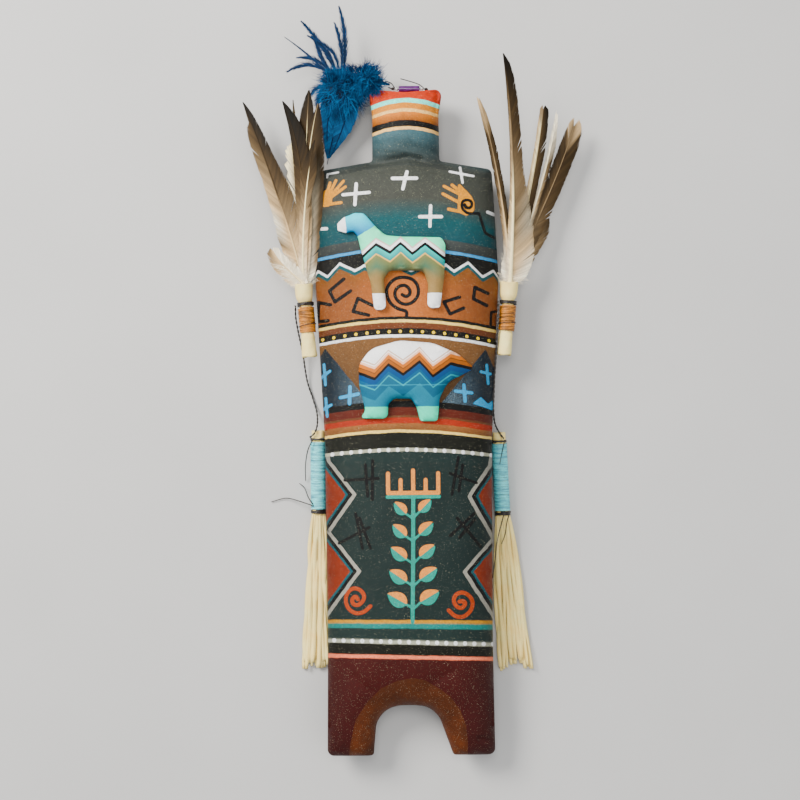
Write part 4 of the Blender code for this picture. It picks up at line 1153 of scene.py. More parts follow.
def make_animal(name, shape, length, place, zigzag_line, layers, extra):
    points, faces = animal_points(shape, length, place)
    spots = seen(points)
    fields = {
        "zigzag": spots[:, 1] - np.interp(spots[:, 0], *np.array(zigzag_line).T),
        "seen_v": spots[:, 1],
    }
    for key, ends in extra.items():
        fields[key] = line_side(spots, *ends)
    made = add_mesh(f"{name}_cloth", points, faces, animal_finish(f"{name}_cotton", layers),
                    fields)
    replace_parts(made, name)


make_animal(
    "horse", HORSE_OUTLINE, HORSE_LENGTH, HORSE_PLACE, HORSE_ZIGZAG, horse_layers,
    {"neck": ((-33.6, 355.6), (-21.0, 363.2)), "muzzle": ((-41.2, 359.0), (-41.8, 368.0))},
)
make_animal(
    "bear", BEAR_OUTLINE, BEAR_LENGTH, BEAR_PLACE, BEAR_ZIGZAG, bear_layers, {},
)


# Feather bundles: leather sleeve, thread windings, ties and feathers

SIDES_OUT = {"left": -1, "right": 1}
SLEEVE_LENGTH = 49.5
SLEEVE_FOOT_LEVEL = {"left": 273.3, "right": 273.4}
SLEEVE_SIDE_GAP = {"left": 1.1, "right": 0.7}
SLEEVE_AXIS = SEAM + 4.0
SLEEVE_MOUTH_RADIUS = 6.7
SLEEVE_RADIUS = 4.7
SLEEVE_FOOT_RADIUS = 5.3
SLEEVE_LEATHER = 1.0
SLEEVE_TURNS = 1.45
SLEEVE_START = {"left": 1.1, "right": 2.4}
WRAP_FROM = 16.5
WRAP_TO = 34.0
TIE_WIDTH = 3.0
QUILL_INSIDE = 12.0
FEATHER_PITCH = 1.25
FAN_LENGTH = 120.0
BUNDLE_RISE = 0.060
BUNDLE_TILT = 0.26

# Feathers of each bundle, back to front: degrees outwards, length and bow
FEATHERS = {
    "left": (
        (-1.8, 126.1, 0.0), (13.5, 132.6, -2.4), (-6.9, 130.8, 1.0), (-10.0, 121.3, 4.4),
        (1.3, 124.0, -9.0), (-10.1, 96.2, 3.6), (37.0, 31.0, 2.0),
    ),
    "right": (
        (26.5, 50.0, 1.0), (18.5, 116.9, 3.0), (11.6, 119.6, 4.0), (6.8, 119.8, 2.7),
        (-14.5, 123.6, 4.7), (-6.3, 151.5, 5.4),
    ),
}

DARK_TIP = (13, 9, 4)
DARK = (25, 17, 5)
OLIVE = (45, 32, 12)
BROWN = (66, 50, 28)
TAN = (112, 92, 64)
PALE = (195, 163, 117)
WHITE = (240, 228, 200)
GREY = (172, 160, 134)
CREAM = (243, 226, 172)

# Colours along each feather from the sleeve to the tip: the inner vane beside the shaft and at
# its edge, the outer vane the same, the shaft, the share of its length with white down, and how
# ragged its edges are
LOOKS = {
    "left": (
        (((0, TAN), (1, BROWN)), ((0, TAN), (1, BROWN)),
         ((0, PALE), (0.55, BROWN), (0.82, TAN), (0.9, BROWN), (1, BROWN)),
         ((0, PALE), (0.55, WHITE), (0.82, CREAM), (0.9, BROWN), (1, BROWN)),
         ((0, CREAM), (1, DARK)), 0.0, 2.4),
        (((0, WHITE), (0.38, PALE), (0.58, TAN), (0.72, BROWN), (0.84, OLIVE), (0.94, DARK), (1, DARK_TIP)),
         ((0, WHITE), (0.34, PALE), (0.5, TAN), (0.64, BROWN), (0.74, OLIVE), (0.82, DARK), (1, DARK_TIP)),
         ((0, WHITE), (0.30, PALE), (0.5, PALE), (0.74, TAN), (0.87, BROWN), (0.94, DARK), (1, DARK_TIP)),
         ((0, WHITE), (0.22, WHITE), (0.34, PALE), (0.38, TAN), (0.5, WHITE), (0.58, PALE), (0.74, TAN),
          (0.9, BROWN), (1, DARK)),
         ((0, CREAM), (0.45, PALE), (0.6, BROWN), (0.8, OLIVE), (1, DARK_TIP)), 0.0, 0.4),
        (((0, WHITE), (0.4, PALE), (0.62, TAN), (0.8, BROWN), (0.92, OLIVE), (1, DARK)),
         ((0, WHITE), (0.4, TAN), (0.7, BROWN), (0.86, OLIVE), (0.95, DARK), (1, DARK)),
         ((0, WHITE), (0.4, PALE), (0.62, TAN), (0.8, BROWN), (0.92, OLIVE), (1, DARK)),
         ((0, WHITE), (0.4, TAN), (0.7, BROWN), (0.84, OLIVE), (0.94, DARK), (1, DARK_TIP)),
         ((0, CREAM), (0.8, CREAM), (0.9, TAN), (1, DARK)), 0.0, 0.4),
        (((0, WHITE), (0.3, WHITE), (0.5, GREY), (0.68, GREY), (0.82, BROWN), (1, OLIVE)),
         ((0, WHITE), (0.16, WHITE), (0.26, TAN), (0.5, BROWN), (0.7, OLIVE), (1, DARK)),
         ((0, WHITE), (0.5, GREY), (0.8, BROWN), (1, OLIVE)),
         ((0, WHITE), (0.5, TAN), (0.8, BROWN), (1, DARK)),
         ((0, CREAM), (0.8, CREAM), (1, TAN)), 0.16, 0.12),
        (((0, WHITE), (0.42, PALE), (0.6, TAN), (0.72, BROWN), (0.82, OLIVE), (0.9, DARK), (0.95, DARK_TIP)),
         ((0, WHITE), (0.36, PALE), (0.56, TAN), (0.68, BROWN), (0.76, OLIVE), (0.86, DARK),
          (0.94, DARK_TIP)),
         ((0, WHITE), (0.42, PALE), (0.58, TAN), (0.68, BROWN), (0.8, OLIVE), (0.9, DARK), (0.95, DARK_TIP)),
         ((0, WHITE), (0.34, PALE), (0.5, TAN), (0.64, BROWN), (0.74, OLIVE), (0.84, DARK), (1, DARK)),
         ((0, CREAM), (0.62, CREAM), (0.68, BROWN), (0.8, OLIVE), (1, DARK_TIP)), 0.16, 0.2),
        (((0, WHITE), (0.5, PALE), (0.72, TAN), (0.86, BROWN), (0.93, OLIVE), (1, DARK)),
         ((0, WHITE), (0.42, PALE), (0.66, TAN), (0.82, BROWN), (0.92, DARK), (1, BROWN)),
         ((0, WHITE), (0.5, PALE), (0.72, TAN), (0.86, BROWN), (0.93, OLIVE), (1, DARK)),
         ((0, WHITE), (0.42, PALE), (0.66, TAN), (0.82, BROWN), (0.92, DARK), (1, OLIVE)),
         ((0, CREAM), (0.8, CREAM), (0.86, BROWN), (1, DARK)), 0.18, 0.2),
        (((0, WHITE), (1, WHITE)), ((0, WHITE), (1, WHITE)), ((0, WHITE), (0.6, WHITE), (1, PALE)),
         ((0, WHITE), (0.6, PALE), (1, TAN)), ((0, CREAM), (1, PALE)), 0.9, 0.6),
    ),
    "right": (
        (((0, WHITE), (0.5, WHITE), (1, TAN)), ((0, WHITE), (0.5, PALE), (1, TAN)),
         ((0, WHITE), (0.6, PALE), (1, TAN)), ((0, WHITE), (0.6, TAN), (1, BROWN)),
         ((0, CREAM), (1, PALE)), 0.7, 0.5),
        (((0, WHITE), (0.25, TAN), (0.45, TAN), (0.7, BROWN), (0.95, OLIVE), (1, TAN)),
         ((0, WHITE), (0.25, BROWN), (0.5, OLIVE), (0.9, OLIVE), (0.98, BROWN), (1, PALE)),
         ((0, WHITE), (0.25, TAN), (0.45, TAN), (0.7, BROWN), (0.96, OLIVE), (1, TAN)),
         ((0, WHITE), (0.25, TAN), (0.5, BROWN), (0.9, OLIVE), (0.98, BROWN), (1, PALE)),
         ((0, CREAM), (0.5, TAN), (1, TAN)), 0.0, 0.6),
        (((0, WHITE), (0.4, PALE), (0.8, WHITE), (1, WHITE)), ((0, WHITE), (0.5, GREY), (1, WHITE)),
         ((0, WHITE), (0.6, PALE), (0.8, TAN), (1, WHITE)),
         ((0, WHITE), (0.6, BROWN), (0.8, OLIVE), (1, WHITE)),
         ((0, CREAM), (1, WHITE)), 0.0, 0.4),
        (((0, WHITE), (0.3, PALE), (0.9, CREAM), (1, TAN)), ((0, WHITE), (0.3, TAN), (0.9, PALE), (1, TAN)),
         ((0, WHITE), (0.3, TAN), (0.6, BROWN), (1, BROWN)),
         ((0, WHITE), (0.3, BROWN), (0.7, OLIVE), (1, DARK)),
         ((0, CREAM), (1, TAN)), 0.0, 0.6),
        (((0, WHITE), (0.2, WHITE), (0.4, PALE), (0.6, TAN), (0.85, BROWN), (1, PALE)),
         ((0, WHITE), (0.2, WHITE), (0.4, TAN), (0.6, BROWN), (0.85, OLIVE), (1, PALE)),
         ((0, WHITE), (0.3, WHITE), (0.42, TAN), (0.6, BROWN), (0.85, BROWN), (1, PALE)),
         ((0, WHITE), (0.3, PALE), (0.42, BROWN), (0.6, OLIVE), (0.85, OLIVE), (1, PALE)),
         ((0, CREAM), (0.5, PALE), (0.8, TAN), (1, PALE)), 0.36, 0.7),
        (((0, WHITE), (0.3, CREAM), (0.6, PALE), (0.85, TAN), (0.95, OLIVE), (1, DARK_TIP)),
         ((0, WHITE), (0.4, PALE), (0.62, TAN), (0.85, BROWN), (0.95, DARK), (1, DARK_TIP)),
         ((0, WHITE), (0.2, PALE), (0.34, PALE), (0.5, TAN), (0.64, TAN), (0.8, BROWN), (0.92, OLIVE),
          (0.97, DARK), (1, DARK_TIP)),
         ((0, WHITE), (0.2, WHITE), (0.34, PALE), (0.42, GREY), (0.55, TAN), (0.72, BROWN), (0.84, OLIVE),
          (0.93, DARK), (1, DARK_TIP)),
         ((0, CREAM), (0.5, CREAM), (0.64, TAN), (0.85, BROWN), (1, DARK_TIP)), 0.12, 0.25),
    ),
}


def side_of_body(level):
    rows = (SOLE, SKIRT, WAIST, CHEST, SHOULDER)
    return float(np.interp(level, [row[1] for row in rows], [row[0] for row in rows]))


def turned(points, angle, place):
    """Points turned about z and moved to place."""
    points = np.asarray(points, dtype=float)
    c, s = math.cos(angle), math.sin(angle)
    x = points[..., 0] * c - points[..., 1] * s + place[0]
    y = points[..., 0] * s + points[..., 1] * c + place[1]
    return np.stack([x, y, points[..., 2] + place[2]], -1)


def bundle_place(side):
    """Turn and place of a bundle: its origin is the sleeve's foot, with +Y along the sleeve."""
    low = SLEEVE_FOOT_LEVEL[side]
    foot = side_of_body(low) + SLEEVE_FOOT_RADIUS + SLEEVE_SIDE_GAP[side]
    mouth = side_of_body(low + SLEEVE_LENGTH) + SLEEVE_MOUTH_RADIUS + SLEEVE_SIDE_GAP[side]
    turn = -SIDES_OUT[side] * math.asin((mouth - foot) / SLEEVE_LENGTH)
    return turn, (SIDES_OUT[side] * foot, low, SLEEVE_AXIS)


def linear(colour):
    return np.array(srgb(*colour)[:3])


def colour_along(stops, t):
    keys = [stop[0] for stop in stops]
    values = np.array([linear(stop[1]) for stop in stops])
    t = np.asarray(t, dtype=float)
    return np.stack([np.interp(t, keys, values[:, k]) for k in range(3)], -1)


# Width of each feather's inner and outer vane, in millimetres, along the shaft to just past its tip
VANES = {
    "left": (
        (((0, 0.4), (0.5, 1.2), (0.9, 1.6), (1, 0.3)),
         ((0, 0.4), (0.5, 1.0), (0.56, 2.4), (0.60, 6.8), (0.63, 5.4), (0.66, 7.8), (0.70, 6.4),
          (0.735, 8.6), (0.75, 6.2), (0.78, 7.8), (0.81, 4.2), (0.84, 1.2), (0.9, 1.0), (1, 0.3))),
        (((0, 2.0), (0.15, 4.5), (0.37, 8.5), (0.46, 9.8), (0.55, 10.2), (0.62, 9.8), (0.68, 8.2),
          (0.74, 6.6), (0.83, 5.4), (0.93, 3.4), (0.98, 1.4), (1.0, 0.3)),
         ((0, 2.0), (0.12, 5.0), (0.25, 7.0), (0.33, 8.4), (0.40, 9.2), (0.46, 8.5), (0.55, 7.4),
          (0.70, 6.8), (0.79, 6.6), (0.86, 5.6), (0.895, 4.0), (0.91, 1.6), (0.95, 1.0), (1.0, 0.2))),
        (((0, 2.0), (0.4, 4.0), (0.7, 5.2), (0.87, 5.0), (0.95, 3.2), (1.0, 0.4)),
         ((0, 2.0), (0.4, 4.2), (0.7, 6.0), (0.84, 6.2), (0.92, 4.6), (0.97, 2.4), (1.0, 0.4))),
        (((0, 3.0), (0.08, 5.5), (0.16, 8.0), (0.24, 9.6), (0.35, 11.2), (0.5, 12.4), (0.68, 12.0),
          (0.8, 10.4), (0.88, 7.6), (0.95, 4.2), (1.0, 0.6)),
         ((0, 2.0), (0.3, 3.0), (0.6, 2.8), (0.9, 2.0), (1.0, 0.3))),
        (((0, 2.4), (0.3, 4.0), (0.5, 5.0), (0.62, 5.6), (0.74, 6.8), (0.84, 7.2), (0.92, 5.0), (0.97, 2.2),
          (1.0, 0.4)),
         ((0, 2.4), (0.2, 4.0), (0.45, 5.4), (0.6, 5.8), (0.72, 4.6), (0.85, 2.8), (0.95, 1.5), (1.0, 0.3))),
        (((0, 2.0), (0.4, 3.0), (0.7, 3.6), (0.82, 5.4), (0.89, 4.6), (0.96, 1.8), (1.0, 0.3)),
         ((0, 2.0), (0.4, 3.0), (0.7, 3.6), (0.80, 5.6), (0.87, 5.0), (0.95, 2.0), (1.0, 0.3))),
        (((0, 3.0), (0.5, 6.0), (1.0, 4.0), (1.06, 1.0)),
         ((0, 4.0), (0.3, 6.5), (0.7, 7.0), (1.0, 5.0), (1.08, 1.0))),
    ),
    "right": (
        (((0, 4.0), (0.4, 7.5), (0.9, 6.0), (1.06, 1.5)), ((0, 3.0), (0.4, 6.5), (0.9, 6.0), (1.06, 1.5))),
        (((0, 2.0), (0.3, 4.5), (0.5, 5.4), (0.7, 5.8), (0.88, 5.6), (0.96, 5.0), (1.02, 3.6), (1.05, 1.6)),
         ((0, 2.0), (0.3, 5.6), (0.45, 6.4), (0.6, 6.8), (0.8, 7.0), (0.92, 7.4), (0.98, 6.6), (1.02, 4.8),
          (1.05, 2.0))),
        (((0, 1.0), (0.5, 1.6), (0.9, 1.6), (1.0, 0.8), (1.02, 0.3)),
         ((0, 1.0), (0.5, 2.4), (0.85, 3.4), (0.93, 2.0), (1.0, 0.8))),
        (((0, 1.6), (0.5, 2.6), (0.9, 2.8), (1.0, 2.2), (1.02, 0.6)),
         ((0, 1.6), (0.5, 4.2), (0.8, 5.0), (0.95, 4.6), (1.0, 3.8), (1.02, 1.2))),
        (((0, 3.0), (0.08, 4.6), (0.16, 5.9), (0.22, 5.6), (0.28, 3.2), (0.4, 2.5), (0.7, 2.6), (0.9, 2.1),
          (0.97, 1.5), (1.01, 0.6)),
         ((0, 2.0), (0.3, 2.7), (0.5, 3.2), (0.8, 3.2), (0.93, 2.4), (1.0, 0.9))),
        (((0, 2.0), (0.2, 3.4), (0.35, 3.4), (0.5, 2.5), (0.7, 1.8), (0.85, 1.5), (0.96, 0.6), (1.0, 0.2)),
         ((0, 4.0), (0.05, 8.6), (0.12, 12.0), (0.18, 13.6), (0.22, 14.8), (0.28, 15.6), (0.36, 14.8),
          (0.45, 12.6), (0.52, 10.2), (0.60, 7.4), (0.68, 6.6), (0.77, 6.2), (0.85, 5.8), (0.92, 5.2),
          (0.965, 3.6), (1.0, 0.5))),
    ),
}


SHAFT_POINTS = 44
BARB_SPACING = 0.36


def make_feather(pile, side, number, sizes, profiles, look):
    """One feather: a tapered shaft, a vane of barbs on each side with splits, and down."""
    lean, length, bow = sizes
    inner_near, inner_edge, outer_near, outer_edge, shaft_look, down, ragged = look
    out = SIDES_OUT[side]
    level = number - (len(FEATHERS[side]) - 1) / 2
    angle = math.radians(lean)
    tip = np.array((out * math.sin(angle), math.cos(angle))) * length
    across = np.array((out * math.cos(angle), -math.sin(angle))) * bow
    knee, hold = np.array((0.0, 0.06 * length)), tip * 0.6 + across * 1.8
    spread = np.linspace(0, 1, 120)
    t = spread[:, None]
    plan = 3 * knee * t * (1 - t) ** 2 + 3 * hold * t * t * (1 - t) + tip * t**3
    forward = np.gradient(plan, axis=0)
    forward /= np.linalg.norm(forward, axis=1)[:, None]
    outward = np.stack([forward[:, 1] * out, -forward[:, 0] * out], 1)
    turn, place = bundle_place(side)

    def spot(s, reach, lift):
        """Doll place of points at share s along the shaft and reach outwards, in millimetres."""
        base = np.stack([np.interp(s, spread, plan[:, k]) for k in range(2)], -1)
        base = base + np.maximum(s - 1, 0)[..., None] * length * forward[-1]
        aside = np.stack([np.interp(s, spread, outward[:, k]) for k in range(2)], -1)
        flat = base + aside * reach[..., None]
        away = np.hypot(flat[..., 0], flat[..., 1])
        z = BUNDLE_RISE * away - BUNDLE_TILT * out * flat[..., 0]
        z = z + level * FEATHER_PITCH * (1 + away / FAN_LENGTH) + lift
        z = z - 0.9 * (np.abs(reach) / 10.0) ** 2
        local = np.stack([flat[..., 0], flat[..., 1] + SLEEVE_LENGTH, z], -1)
        return turned(local, turn, place)

    s = np.linspace(0, 1, SHAFT_POINTS)
    inside = turned([(0.0, SLEEVE_LENGTH - QUILL_INSIDE, level * FEATHER_PITCH)], turn, place)
    shaft = np.vstack([inside, spot(s, 0 * s, 0 * s)])
    thick = 1.5 if length < 140 else 1.9
    radius = np.concatenate([[0.85], thick - (thick - 0.2) * s**0.6])
    pile.tube(shaft, radius, colour_along(shaft_look, np.concatenate([[0.0], s])), sides=8)

    gen = np.random.default_rng(100 * (number + 1) + (7 if side == "left" else 3))
    q = np.linspace(0, 1, 7)
    vanes = ((-1, profiles[0], inner_near, inner_edge), (1, profiles[1], outer_near, outer_edge))
    for direction, profile, near, edge in vanes:
        def barbs(ends):
            """Reach and root of the barbs that end at these shares along the shaft."""
            slope = np.interp(ends, (0, 0.3, 0.8, 1), (0.6, 1.05, 1.5, 2.0))
            reach = np.interp(ends, *np.array(profile).T)
            return reach, np.clip(ends - reach * slope / length, 0.012, 1.0)

        fine = np.linspace(0.03, profile[-1][0], 1500)
        steps = np.maximum(np.diff(fine), np.abs(np.diff(barbs(fine)[1]))) * length
        moved = np.concatenate([[0.0], np.cumsum(steps)])
        count = int(moved[-1] / BARB_SPACING)
        ends = np.interp(np.linspace(0, moved[-1], count), moved, fine)
        reach, roots = barbs(ends)
        pull = np.zeros(count)
        for split in gen.uniform(0.22, 0.9, 2 + int(4 * ragged)):
            strength = gen.uniform(0.3, 1.0) * 1.1 / length
            past = (ends - split) * length
            pull += strength * np.sign(past) * np.exp(-np.abs(past) / gen.uniform(2.5, 6.0))
        slow = np.interp(ends, np.linspace(0, 1, 40), gen.normal(0, 1, 40))
        reach = reach * (1 + 0.012 * gen.normal(0, 1, count) + 0.05 * ragged * slow)
        frayed = (gen.random(count) < 0.10 * ragged) & (reach > 1.5)
        reach = np.where(frayed, reach * gen.uniform(0.72, 0.95, count), reach)
        bend = q[None, :] ** 1.12
        along = roots[:, None] + (ends - roots)[:, None] * bend
        along = along + pull[:, None] * q[None, :] ** 1.5 * np.minimum(1, reach / 4)[:, None]
        along = along + gen.normal(0, 0.0006, count)[:, None] * q[None, :]
        sideways = direction * (0.2 + (reach[:, None] - 0.2) * q[None, :])
        half = BARB_SPACING / length * np.interp(q, (0, 0.85, 0.96, 1), (1.35, 1.2, 1.0, 0.45))
        lift = 0.07 * gen.normal(0, 1, count)[:, None] * q[None, :]
        lift = lift + 0.25 * np.sin(ends * length / 9.0 + number)[:, None] * q[None, :] ** 2
        lower = spot(np.maximum(along - half, 0), sideways, lift)
        upper = spot(np.maximum(along + half, 0), sideways, lift + 0.06)
        share = np.clip((q[None, :] - 0.15) / 0.7, 0, 1)[..., None]
        tint = colour_along(near, ends)[:, None, :] * (1 - share)
        tint = tint + colour_along(edge, ends)[:, None, :] * share
        streak = np.interp(ends, np.linspace(0, 1, 75), gen.normal(0, 1, 75))
        tone = 1 + 0.06 * gen.normal(0, 1, count) + 0.05 * slow + 0.14 * streak
        tone = np.where(gen.random(count) < 0.07, tone * 0.78, tone)
        pile.ribbons(lower, upper, np.clip(tint * tone[:, None, None], 0, 1))

    wisps = int(260 * down) + 30
    q = np.linspace(0, 1, 8)[None, :]
    start = gen.uniform(0.015, max(0.75 * down, 0.10), wisps)[:, None]
    direction = gen.choice((-1, 1), wisps)[:, None]
    reach = gen.uniform(2.0, 8.5, wisps)[:, None] * (0.5 + 0.5 * down)
    phase = gen.uniform(0, 6, wisps)[:, None]
    along = start + gen.uniform(2, 9, wisps)[:, None] / length * q + 0.005 * np.sin(q * 9 + phase)
    sideways = direction * reach * q**0.8
    lift = gen.uniform(-0.6, 1.2, wisps)[:, None] * q + 0.25 * np.sin(q * 7 + phase)
    half = 0.22 * (1 - 0.8 * q) / length
    tint = linear(WHITE)[None, None, :] * gen.uniform(0.86, 1.0, wisps)[:, None, None]
    tint = np.repeat(tint, 8, axis=1)
    pile.ribbons(spot(along - half, sideways, lift), spot(along + half, sideways, lift), tint)


MOUTH_DOWN_AT = {"left": 6, "right": 5}
HAIR_COUNT = 80
HAIR_REACH = (3.0, 10.0)


def mouth_down(pile, side, gen):
    """Fine curled down that spills out of a sleeve's mouth round the quills."""
    turn, place = bundle_place(side)
    q = np.linspace(0, 1, 9)
    angle = gen.uniform(0, 2 * np.pi, HAIR_COUNT)[:, None]
    reach = gen.uniform(*HAIR_REACH, HAIR_COUNT)[:, None]
    bend = gen.normal(0, 2.4, HAIR_COUNT)[:, None] * q**2
    away = SLEEVE_MOUTH_RADIUS - 2.0 + reach * q
    rise = reach * gen.uniform(0.1, 1.1, HAIR_COUNT)[:, None] * np.sin(2.2 * q)
    path = np.stack([away * np.cos(angle) - bend * np.sin(angle), SLEEVE_LENGTH - 1.0 + rise,
                     0.6 * away * np.sin(angle) + bend * np.cos(angle)], -1)
    half = (0.13 * (1 - 0.7 * q))[None, :, None] * np.array((0.3, 0.9, 0.3))
    tint = np.tile(linear(WHITE), (HAIR_COUNT, len(q), 1))
    pile.ribbons(turned(path - half, turn, place), turned(path + half, turn, place), tint)


def feather_finish():
    kit = Finish("feather")
    tint = kit.colours("tint")
    fine = kit.noise(1900.0, 3.0, 0.6)
    tone = kit.rescale(fine, 0.25, 0.75, 0.8, 1.18)
    colour = kit.shaded(tint, tone)
    normal = kit.bump(fine, 0.25, 0.0002)
    return kit.finish(colour, kit.rescale(fine, 0.3, 0.8, 0.55, 0.75), normal, Specular_IOR_Level=0.14)


FEATHER_FINISH = feather_finish()


def leather_finish():
    kit = Finish("leather")
    suede = kit.noise(1300.0, 4.0, 0.65)
    fibre = kit.noise(4800.0, 2.0, 0.7)
    blotch = kit.noise(70.0, 3.0, 0.6)
    colour = kit.mix(kit.rescale(blotch, 0.3, 0.7), srgb(243, 228, 152), srgb(243, 212, 128))
    colour = kit.mix(kit.rescale(suede, 0.52, 0.75, 0.0, 0.30), colour, srgb(226, 184, 110))
    normal = kit.bump(suede, 0.45, 0.0004)
    normal = kit.bump(fibre, 0.3, 0.0002, normal)
    return kit.finish(colour, kit.rescale(suede, 0.2, 0.8, 0.78, 0.95), normal, Specular_IOR_Level=0.2)


LEATHER = leather_finish()


def thread_wrap_finish(name, dark, light):
    kit = Finish(name)
    fine = kit.noise(2600.0, 3.0, 0.6)
    turns = kit.noise(760.0, 3.0, 0.6, kit.stretched((0.12, 1.0, 0.12)))
    colour = kit.mix(kit.rescale(fine, 0.2, 0.6), srgb(*dark), srgb(*light))
    colour = kit.mix(kit.rescale(turns, 0.46, 0.62, 0.0, 0.75), colour, srgb(*dark))
    normal = kit.bump(fine, 0.4, 0.0001)
    return kit.finish(colour, kit.rescale(fine, 0.3, 0.8, 0.4, 0.65), normal)


BROWN_THREAD = thread_wrap_finish("brown_thread", (58, 32, 6), (216, 136, 36))
BLUE_THREAD = thread_wrap_finish("blue_thread", (59, 127, 154), (127, 243, 243))


def roll_pile(stations, thickness, turns, start_angle, seed):
    """A sheet of leather rolled round the y axis. stations are (y, outer radius)."""
    gen = np.random.default_rng(seed)
    pile = Pile()
    steps = int(30 * turns)
    angle = np.linspace(0, 2 * np.pi * turns, steps) + start_angle
    inward = thickness * 1.15 * (turns - np.linspace(0, turns, steps))
    phase = gen.uniform(0, 6, 3)
    outer, inner = [], []
    for y, radius in stations:
        wave = 0.16 * np.sin(angle * 2 + y * 0.21 + phase[0])
        wave = wave + 0.1 * np.sin(angle * 5 + y * 0.5 + phase[1])
        r = radius - inward + wave * np.minimum(1, (angle - angle[0]) / 2)
        ends = 0.35 * np.sin(angle * 3 + phase[2])
        shift = ends if y in (stations[0][0], stations[-1][0]) else 0 * angle
        outer.append(np.stack([r * np.cos(angle), y + shift, r * np.sin(angle)], 1))
        r = r - thickness
        inner.append(np.stack([r * np.cos(angle), y + shift, r * np.sin(angle)], 1))
    pile.grid([np.vstack([out, back[::-1]]) for out, back in zip(outer, inner)], wrap=True)
    for base, order in ((0, 1), ((len(stations) - 1) * 2 * steps, -1)):
        for j in range(steps - 1):
            face = (base + j, base + j + 1, base + 2 * steps - 2 - j, base + 2 * steps - 1 - j)
            pile.faces.append(face[::-order])
    return pile


TURN_POINTS = 26


def winding(pile, y_from, y_to, radius, width, seed):
    """Thread wound round the y axis as one helical tube, a little uneven."""
    gen = np.random.default_rng(seed)
    turns = max(1.0, abs(y_to - y_from) / width)
    count = int(turns * TURN_POINTS) + 1
    angle = np.linspace(0, 2 * np.pi * turns, count)
    y = np.linspace(y_from, y_to, count)
    marks = np.arange(0, angle[-1] + 4, 3.1)
    sway = np.interp(angle, marks, gen.normal(0, width * 0.1, len(marks)))
    r = radius + width * 0.42 + sway * 0.5
    line = np.stack([r * np.cos(angle), y + sway, r * np.sin(angle)], 1)
    pile.tube(line, width * 0.52, sides=6)


def loop_round(pile, y, radius, width, turns, seed):
    """A few close turns of thread round the y axis."""
    gen = np.random.default_rng(seed)
    count = int(turns * TURN_POINTS)
    angle = np.linspace(0, 2 * np.pi * turns, count) + gen.uniform(0, 6)
    line = np.stack([
        (radius + width * 0.5) * np.cos(angle),
        y + np.linspace(-0.4, 0.4, count) * width * turns + 0.12 * np.sin(angle * 1.7),
        (radius + width * 0.5) * np.sin(angle),
    ], 1)
    pile.tube(line, width * 0.5, sides=6)


def knot(pile, centre, size):
    """A small overhand knot: two crossing loops of thread."""
    t = np.linspace(0, 2 * np.pi, 22)
    for tilt in (0.5, -0.6):
        line = np.stack([
            size * np.cos(t), size * 0.62 * np.sin(t) * math.cos(tilt), size * 0.7 * np.sin(t + tilt),
        ], 1)
        pile.tube(np.asarray(centre) + line, size * 0.42, sides=6)


# Loose thread ends: points on each route, first those of the upper tie and then of the lower
UPPER_TAILS = {"left": 2, "right": 1}
TAILS = {
    "left": (
        ((-66.0, 216.6, 13.0), (-69.5, 209.0, 12.5), (-71.6, 198.0, 7.0), (-71.9, 187.5, 1.2)),
        ((-61.0, 217.2, 13.0), (-56.0, 217.5, 21.5), (-49.6, 211.5, 29.6)),
        ((-66.6, 171.8, 11.4), (-69.8, 177.0, 9.6), (-72.4, 182.6, 5.0), (-76.2, 185.8, 1.4)),
        ((-66.0, 170.6, 10.6), (-77.0, 174.0, 6.0), (-86.0, 175.6, 1.6), (-96.0, 173.0, 0.8)),
    ),
    "right": (
        ((66.5, 215.0, 13.0), (64.0, 207.0, 20.0), (62.0, 199.0, 25.0)),
        ((70.0, 165.8, 12.0), (67.6, 159.0, 12.0), (66.4, 150.0, 9.0), (64.0, 143.0, 8.0)),
        ((66.0, 166.0, 12.6), (60.4, 148.0, 21.0), (58.6, 134.0, 20.0), (56.6, 121.0, 22.0)),
    ),
}


